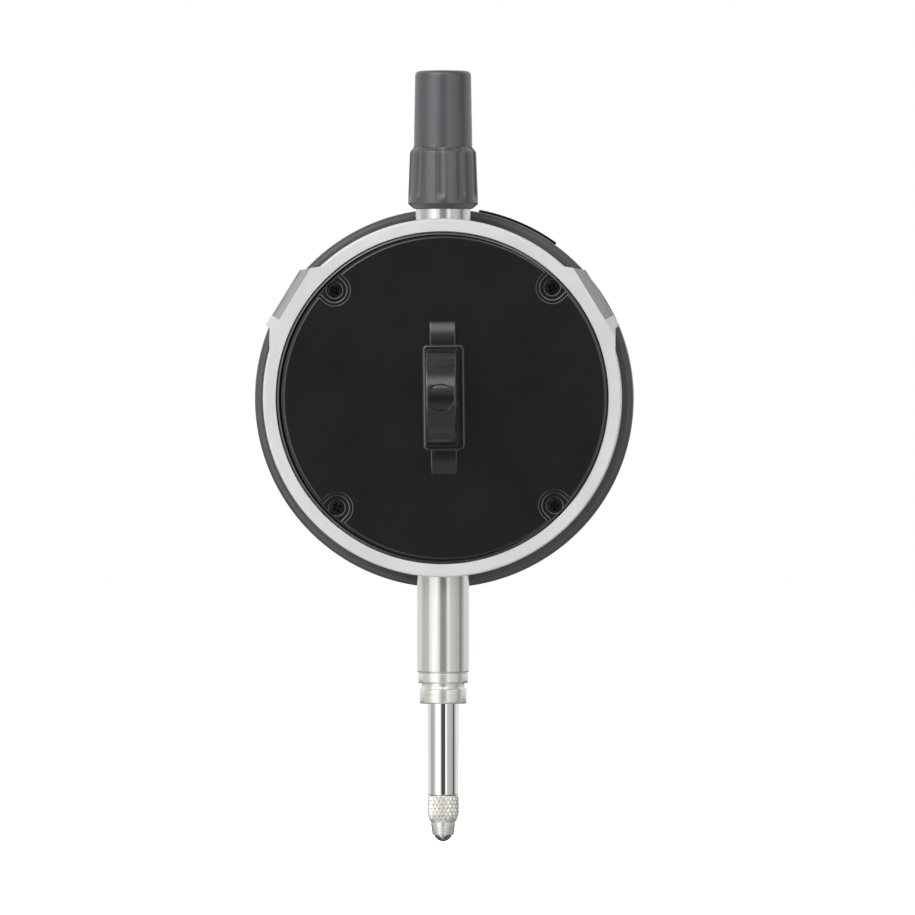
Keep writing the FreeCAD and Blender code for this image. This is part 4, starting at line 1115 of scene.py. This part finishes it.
def make_knurl(start, end):
    """A sleeve of long diamonds: a node tree bends a grid round the axis and presses crossed grooves."""
    tree = bpy.data.node_groups.new("knurl_nodes", "GeometryNodeTree")
    values = {
        "Starts": 22.0,
        "Lead turns": 0.16,
        "Start": start * MM,
        "Height": (end - start) * MM,
        "Root radius": 2.24 * MM,
        "Ridge": 0.22 * MM,
    }
    nodes, given = new_tree(tree, {name: "NodeSocketFloat" for name in values})
    starts = nodes.out(given, "Starts")
    grid_nodes = nodes.add("GeometryNodeMeshGrid")
    for key, value in {"Size X": 1.0, "Size Y": 1.0, "Vertices X": 353, "Vertices Y": 85}.items():
        grid_nodes.inputs[key].default_value = value
    grid_x, grid_y, _ = nodes.split(nodes.out(nodes.add("GeometryNodeInputPosition")))
    around = grid_x + 0.5
    share = grid_y + 0.5
    lead = share * nodes.out(given, "Lead turns") * starts
    first = nodes.maths("PINGPONG", around * starts + lead, 0.5)
    second = nodes.maths("PINGPONG", around * starts - lead, 0.5)
    crest = nodes.maths("MINIMUM", nodes.maths("MINIMUM", first * 2.4, second * 2.6 + 0.15), 1.0)
    near_low = nodes.maths("MINIMUM", share * 2.9, 1.0)
    near_top = nodes.maths("MINIMUM", (1.0 - share) * 22.0, 1.0)
    ending = nodes.maths("MINIMUM", nodes.maths("MINIMUM", share * 4.5, 1.0), near_top)
    low_taper = 0.36 * MM
    radius = nodes.out(given, "Root radius") - (1.0 - near_low) ** 1.3 * low_taper
    radius = radius + nodes.out(given, "Ridge") * crest * ending
    angle = around * (2 * math.pi)
    height = nodes.out(given, "Start") + share * nodes.out(given, "Height")
    bent = nodes.vector(nodes.maths("COSINE", angle) * radius, nodes.maths("SINE", angle) * radius, height)
    placed = nodes.out(nodes.move(nodes.out(grid_nodes), bent))
    closed = nodes.add("GeometryNodeMergeByDistance", None, Geometry=placed, Distance=0.000001)
    # The grooves, where the crest is low, take the dark finish that is painted shade.
    nodes.close(closed, "turned_steel", ("knurl_root", nodes.maths("LESS_THAN", crest, 0.4)))
    knurl = scene_object("knurl", bpy.data.meshes.new("knurl"))
    run_tree(knurl, tree, values)
    work = bmesh.new()
    work.from_mesh(knurl.data)
    rims = [edge for edge in work.edges if edge.is_boundary]
    bmesh.ops.holes_fill(work, edges=rims)
    work.to_mesh(knurl.data)
    work.free()
    tidy(knurl.data, 20)
    return knurl


def make_ball():
    """The ball at the tip."""
    middle = (low("contact_ball").z + high("contact_ball").z) / 2
    radius = high("contact_ball").x
    outline = []
    for step in range(33):
        angle = -math.pi / 2 + math.pi * step / 32
        outline.append((max(0.0, radius * math.cos(angle)), middle + radius * math.sin(angle)))
    ball = lathe("ball_tip", outline, "lapped_steel", steps=64)
    put(ball, "spindle", "polished_steel", "contact_ball")


def make_sleeve():
    """The short sleeve between the case and the cap, stepped where the cap slides on."""
    low_end, top_end = low("top_sleeve").z, high("top_sleeve").z
    shoulder_top = CENTRE + CASE_RADIUS + 1.6
    outline = rounded([
        (3.25, low_end, 0),
        (4.23, low_end, 0),
        (4.23, shoulder_top, 0.1),
        (3.7, shoulder_top, 0),
        (3.7, top_end, 0.3),
        (3.25, top_end, 0.1),
    ])
    sleeve = lathe("cap_sleeve", outline, "ground_steel", steps=128)
    put(sleeve, "body", "ground_steel", "top_sleeve")


# Cap

FLUTE_START = math.radians(90 - 3.4)


def make_cap():
    """The dark cap: ten flutes in its skirt, a soft shoulder and a smooth barrel."""
    foot = low("dust_cap").z
    top = high("dust_cap").z
    step_height = foot + 9.0
    outline = rounded([
        (3.75, foot, 0.1),
        (4.5, foot, 0.15),
        (5.4, foot + 0.75, 0.3),
        (5.1, step_height - 0.3, 0.5),
        (4.5, step_height + 0.45, 0.25),
        (4.3, top - 0.16, 0.7),
        (2.9, top - 0.04, 0.15),
        (2.7, top - 0.25, 0.1),
        (0, top - 0.3, 0),
        (0, top - 1.2, 0),
        (3.1, top - 1.2, 0),
        (3.1, foot + 7.5, 0),
        (3.75, foot + 7.5, 0),
    ], turns=6)
    outline = subdivided(outline, 0.4)
    cap = lathe("pull_cap", outline, "cap_plastic", steps=240)
    press_flutes(cap, foot + 2.2, step_height + 0.3)
    put(cap, "cap", "cap_plastic", "dust_cap")


def subdivided(outline, longest):
    """The outline with no run longer than the given length."""
    points = []
    for index, start in enumerate(outline):
        end = outline[(index + 1) % len(outline)]
        pieces = max(1, math.ceil((end - start).length / longest))
        points += [start.lerp(end, share / pieces) for share in range(pieces)]
    return points


def press_flutes(cap, flute_low, flute_top):
    """A node tree sinks the flutes into the skirt, with soft ends."""
    tree = bpy.data.node_groups.new("flute_nodes", "GeometryNodeTree")
    values = {
        "Count": 10.0,
        "Half width": 0.75 * MM,
        "Depth": 0.3 * MM,
        "Start": FLUTE_START,
        "Low": flute_low * MM,
        "Top": flute_top * MM,
        "Run out": 0.8 * MM,
        "Barrel": 4.5 * MM,
    }
    nodes, given = new_tree(tree, {name: "NodeSocketFloat" for name in values})
    x, y, z = nodes.split(nodes.out(nodes.add("GeometryNodeInputPosition")))
    radius = nodes.maths("MAXIMUM", nodes.maths("SQRT", x * x + y * y), 0.0001)
    count = nodes.out(given, "Count")
    around = (nodes.maths("ARCTAN2", y, x) - nodes.out(given, "Start")) * count / (2 * math.pi)
    offset = nodes.maths("PINGPONG", around, 0.5) * (2 * math.pi) * radius / count
    across = offset / nodes.out(given, "Half width")
    groove = nodes.maths("SQRT", nodes.maths("MAXIMUM", 1.0 - across * across, 0.0))
    run_out = nodes.out(given, "Run out")
    lower = nodes.clamp((z - nodes.out(given, "Low") + run_out) / run_out)
    upper = nodes.clamp((nodes.out(given, "Top") + run_out - z) / run_out * 2.0)
    outside = nodes.clamp((radius - nodes.out(given, "Barrel")) / 0.0001)
    shrink = 1.0 - nodes.out(given, "Depth") * groove * lower * upper * outside / radius
    pressed = nodes.vector(x * shrink, y * shrink, z)
    nodes.close(nodes.move(nodes.out(given, "Geometry"), pressed), "cap_plastic")
    run_tree(cap, tree, values)
    tidy(cap.data, 30)


# Front of the display

BUTTONS = ("button_left", "button_middle", "button_right")
SCREEN_RISE = 5.0


def button_spot(name):
    """Where a button lies from the case centre, in x and z."""
    return ((low(name).x + high(name).x) / 2, (low(name).z + high(name).z) / 2 - CENTRE)


def make_front():
    """The front plate with its window recess and button holes."""
    rear = high("front_bezel").y
    face = low("front_bezel").y
    seam = low("display_housing").y
    plate_rear = face + 2.3
    outer = DISPLAY_RADIUS
    outline = rounded([
        (0, face, 0),
        (outer, face, 1.4),
        (outer, seam, 0.15),
        (outer - 1.9, seam, 0),
        (outer - 1.9, rear, 0),
        (outer - 3.2, rear, 0),
        (outer - 3.2, plate_rear, 0),
        (0, plate_rear, 0),
    ], turns=8)
    plate = lathe("front_plate", outline, "grey_housing", axis="Y", steps=256)
    window_low, window_high = low("window"), high("window")
    gap = 0.12
    bottom, top = window_low.z - CENTRE - gap, window_high.z - CENTRE + gap
    recess = rounded_box(window_low.x - gap, window_high.x + gap, bottom, top, 0.6)
    opening = [(x * 0.94, (z - SCREEN_RISE) * 0.9 + SCREEN_RISE) for x, z in recess]
    cutters = [
        prism("recess", recess, face - 1, window_high.y, "grey_housing"),
        prism("opening", opening, face - 1, rear + 1, "grey_housing"),
    ]
    hole = [(0, face - 1), (3.25, face - 1), (3.0, face + 0.25), (3.0, plate_rear + 1), (0, plate_rear + 1)]
    for name in BUTTONS:
        spot = button_spot(name)
        cutters.append(lathe("button_hole", hole, "grey_housing", axis="Y", steps=64, middle=spot))
    join(plate, cutters, "DIFFERENCE")
    raise_to_centre(plate)
    put(plate, "display", "grey_housing", "front_bezel")


def make_buttons():
    """Three round buttons with a flange behind the plate."""
    for name in BUTTONS:
        face = low(name).y
        flange = face + 3.0
        outline = rounded([
            (0, face + 0.12, 0),
            (1.8, face, 1.5),
            (2.9, face, 0.35),
            (2.9, flange, 0),
            (3.7, flange, 0.1),
            (3.7, flange + 0.7, 0.1),
            (1.45, flange + 0.7, 0),
            (1.45, high(name).y, 0),
            (0, high(name).y, 0),
        ])
        button = lathe(f"{name}_cap", outline, "button_plastic", axis="Y", steps=64, middle=button_spot(name))
        raise_to_centre(button)
        put(button, name, "button_plastic", name)


SEGMENTS = {
    "top": ((0, 1), "across"),
    "bottom": ((0, -1), "across"),
    "upper_left": ((-1, 0.5), "upright"),
    "upper_right": ((1, 0.5), "upright"),
    "lower_left": ((-1, -0.5), "upright"),
    "lower_right": ((1, -0.5), "upright"),
}


def make_figures():
    """Plain noughts on the screen, 0.000: one nought of six segments, set four times by a node tree."""
    face = low("screen_glass").y - 0.02
    shapes = []
    half_wide, half_tall, stroke, slant = 2.1, 4.2, 0.42, 0.1
    for name, ((x, z), way) in SEGMENTS.items():
        middle = Vector((x * half_wide, z * half_tall))
        reach = (half_wide if way == "across" else half_tall / 2) - 0.35
        tips = [(-reach, 0), (-reach + stroke, stroke), (reach - stroke, stroke)]
        tips += [(reach, 0), (reach - stroke, -stroke), (-reach + stroke, -stroke)]
        if way == "upright":
            tips = [(-b, a) for a, b in tips]
        outline = []
        for a, b in tips:
            spot = middle + Vector((a, b))
            outline.append((spot.x + spot.y * slant, spot.y + SCREEN_RISE))
        shapes.append(prism(name, outline, face, face + 0.015, "screen_ink"))
    nought = gathered("nought", shapes)
    noughts = repeat_along("noughts", nought, 4, -7.6, 6.0, "screen_ink")
    dot = [(-5.0 + 0.45 * math.cos(a), 0.85 + 0.45 * math.sin(a)) for a in [math.pi * n / 8 for n in range(16)]]
    point = prism("point", dot, face, face + 0.015, "screen_ink")
    figures = gathered("screen_figures", [noughts, point])
    raise_to_centre(figures)
    put(figures, "display", "screen")


def gathered(name, shapes):
    """One object of several loose shapes."""
    whole = bpy.data.meshes.new(name)
    work = bmesh.new()
    for shape in shapes:
        work.from_mesh(shape.data)
        bpy.data.objects.remove(shape)
    work.to_mesh(whole)
    work.free()
    whole.materials.append(FINISHES["screen_ink"])
    return scene_object(name, whole)


# Everything that keeps its CAD shape


def dress_nodes():
    """Gives every CAD node the finish of its slot."""
    for part in frame["record"]["subparts"]:
        materials = NODES[part["node"]].data.materials
        materials.clear()
        materials.append(FINISHES[part["material_slot"]])


bpy.context.scene.view_settings.view_transform = "Standard"
make_camera()
make_lights()
make_world()
make_floor()
dress_nodes()
make_case()
make_cover()
make_cover_screws()
make_display()
make_stem()
make_lower_bush()
make_spindle()
make_contact_point()
make_ball()
make_sleeve()
make_cap()
make_front()
make_buttons()
make_figures()
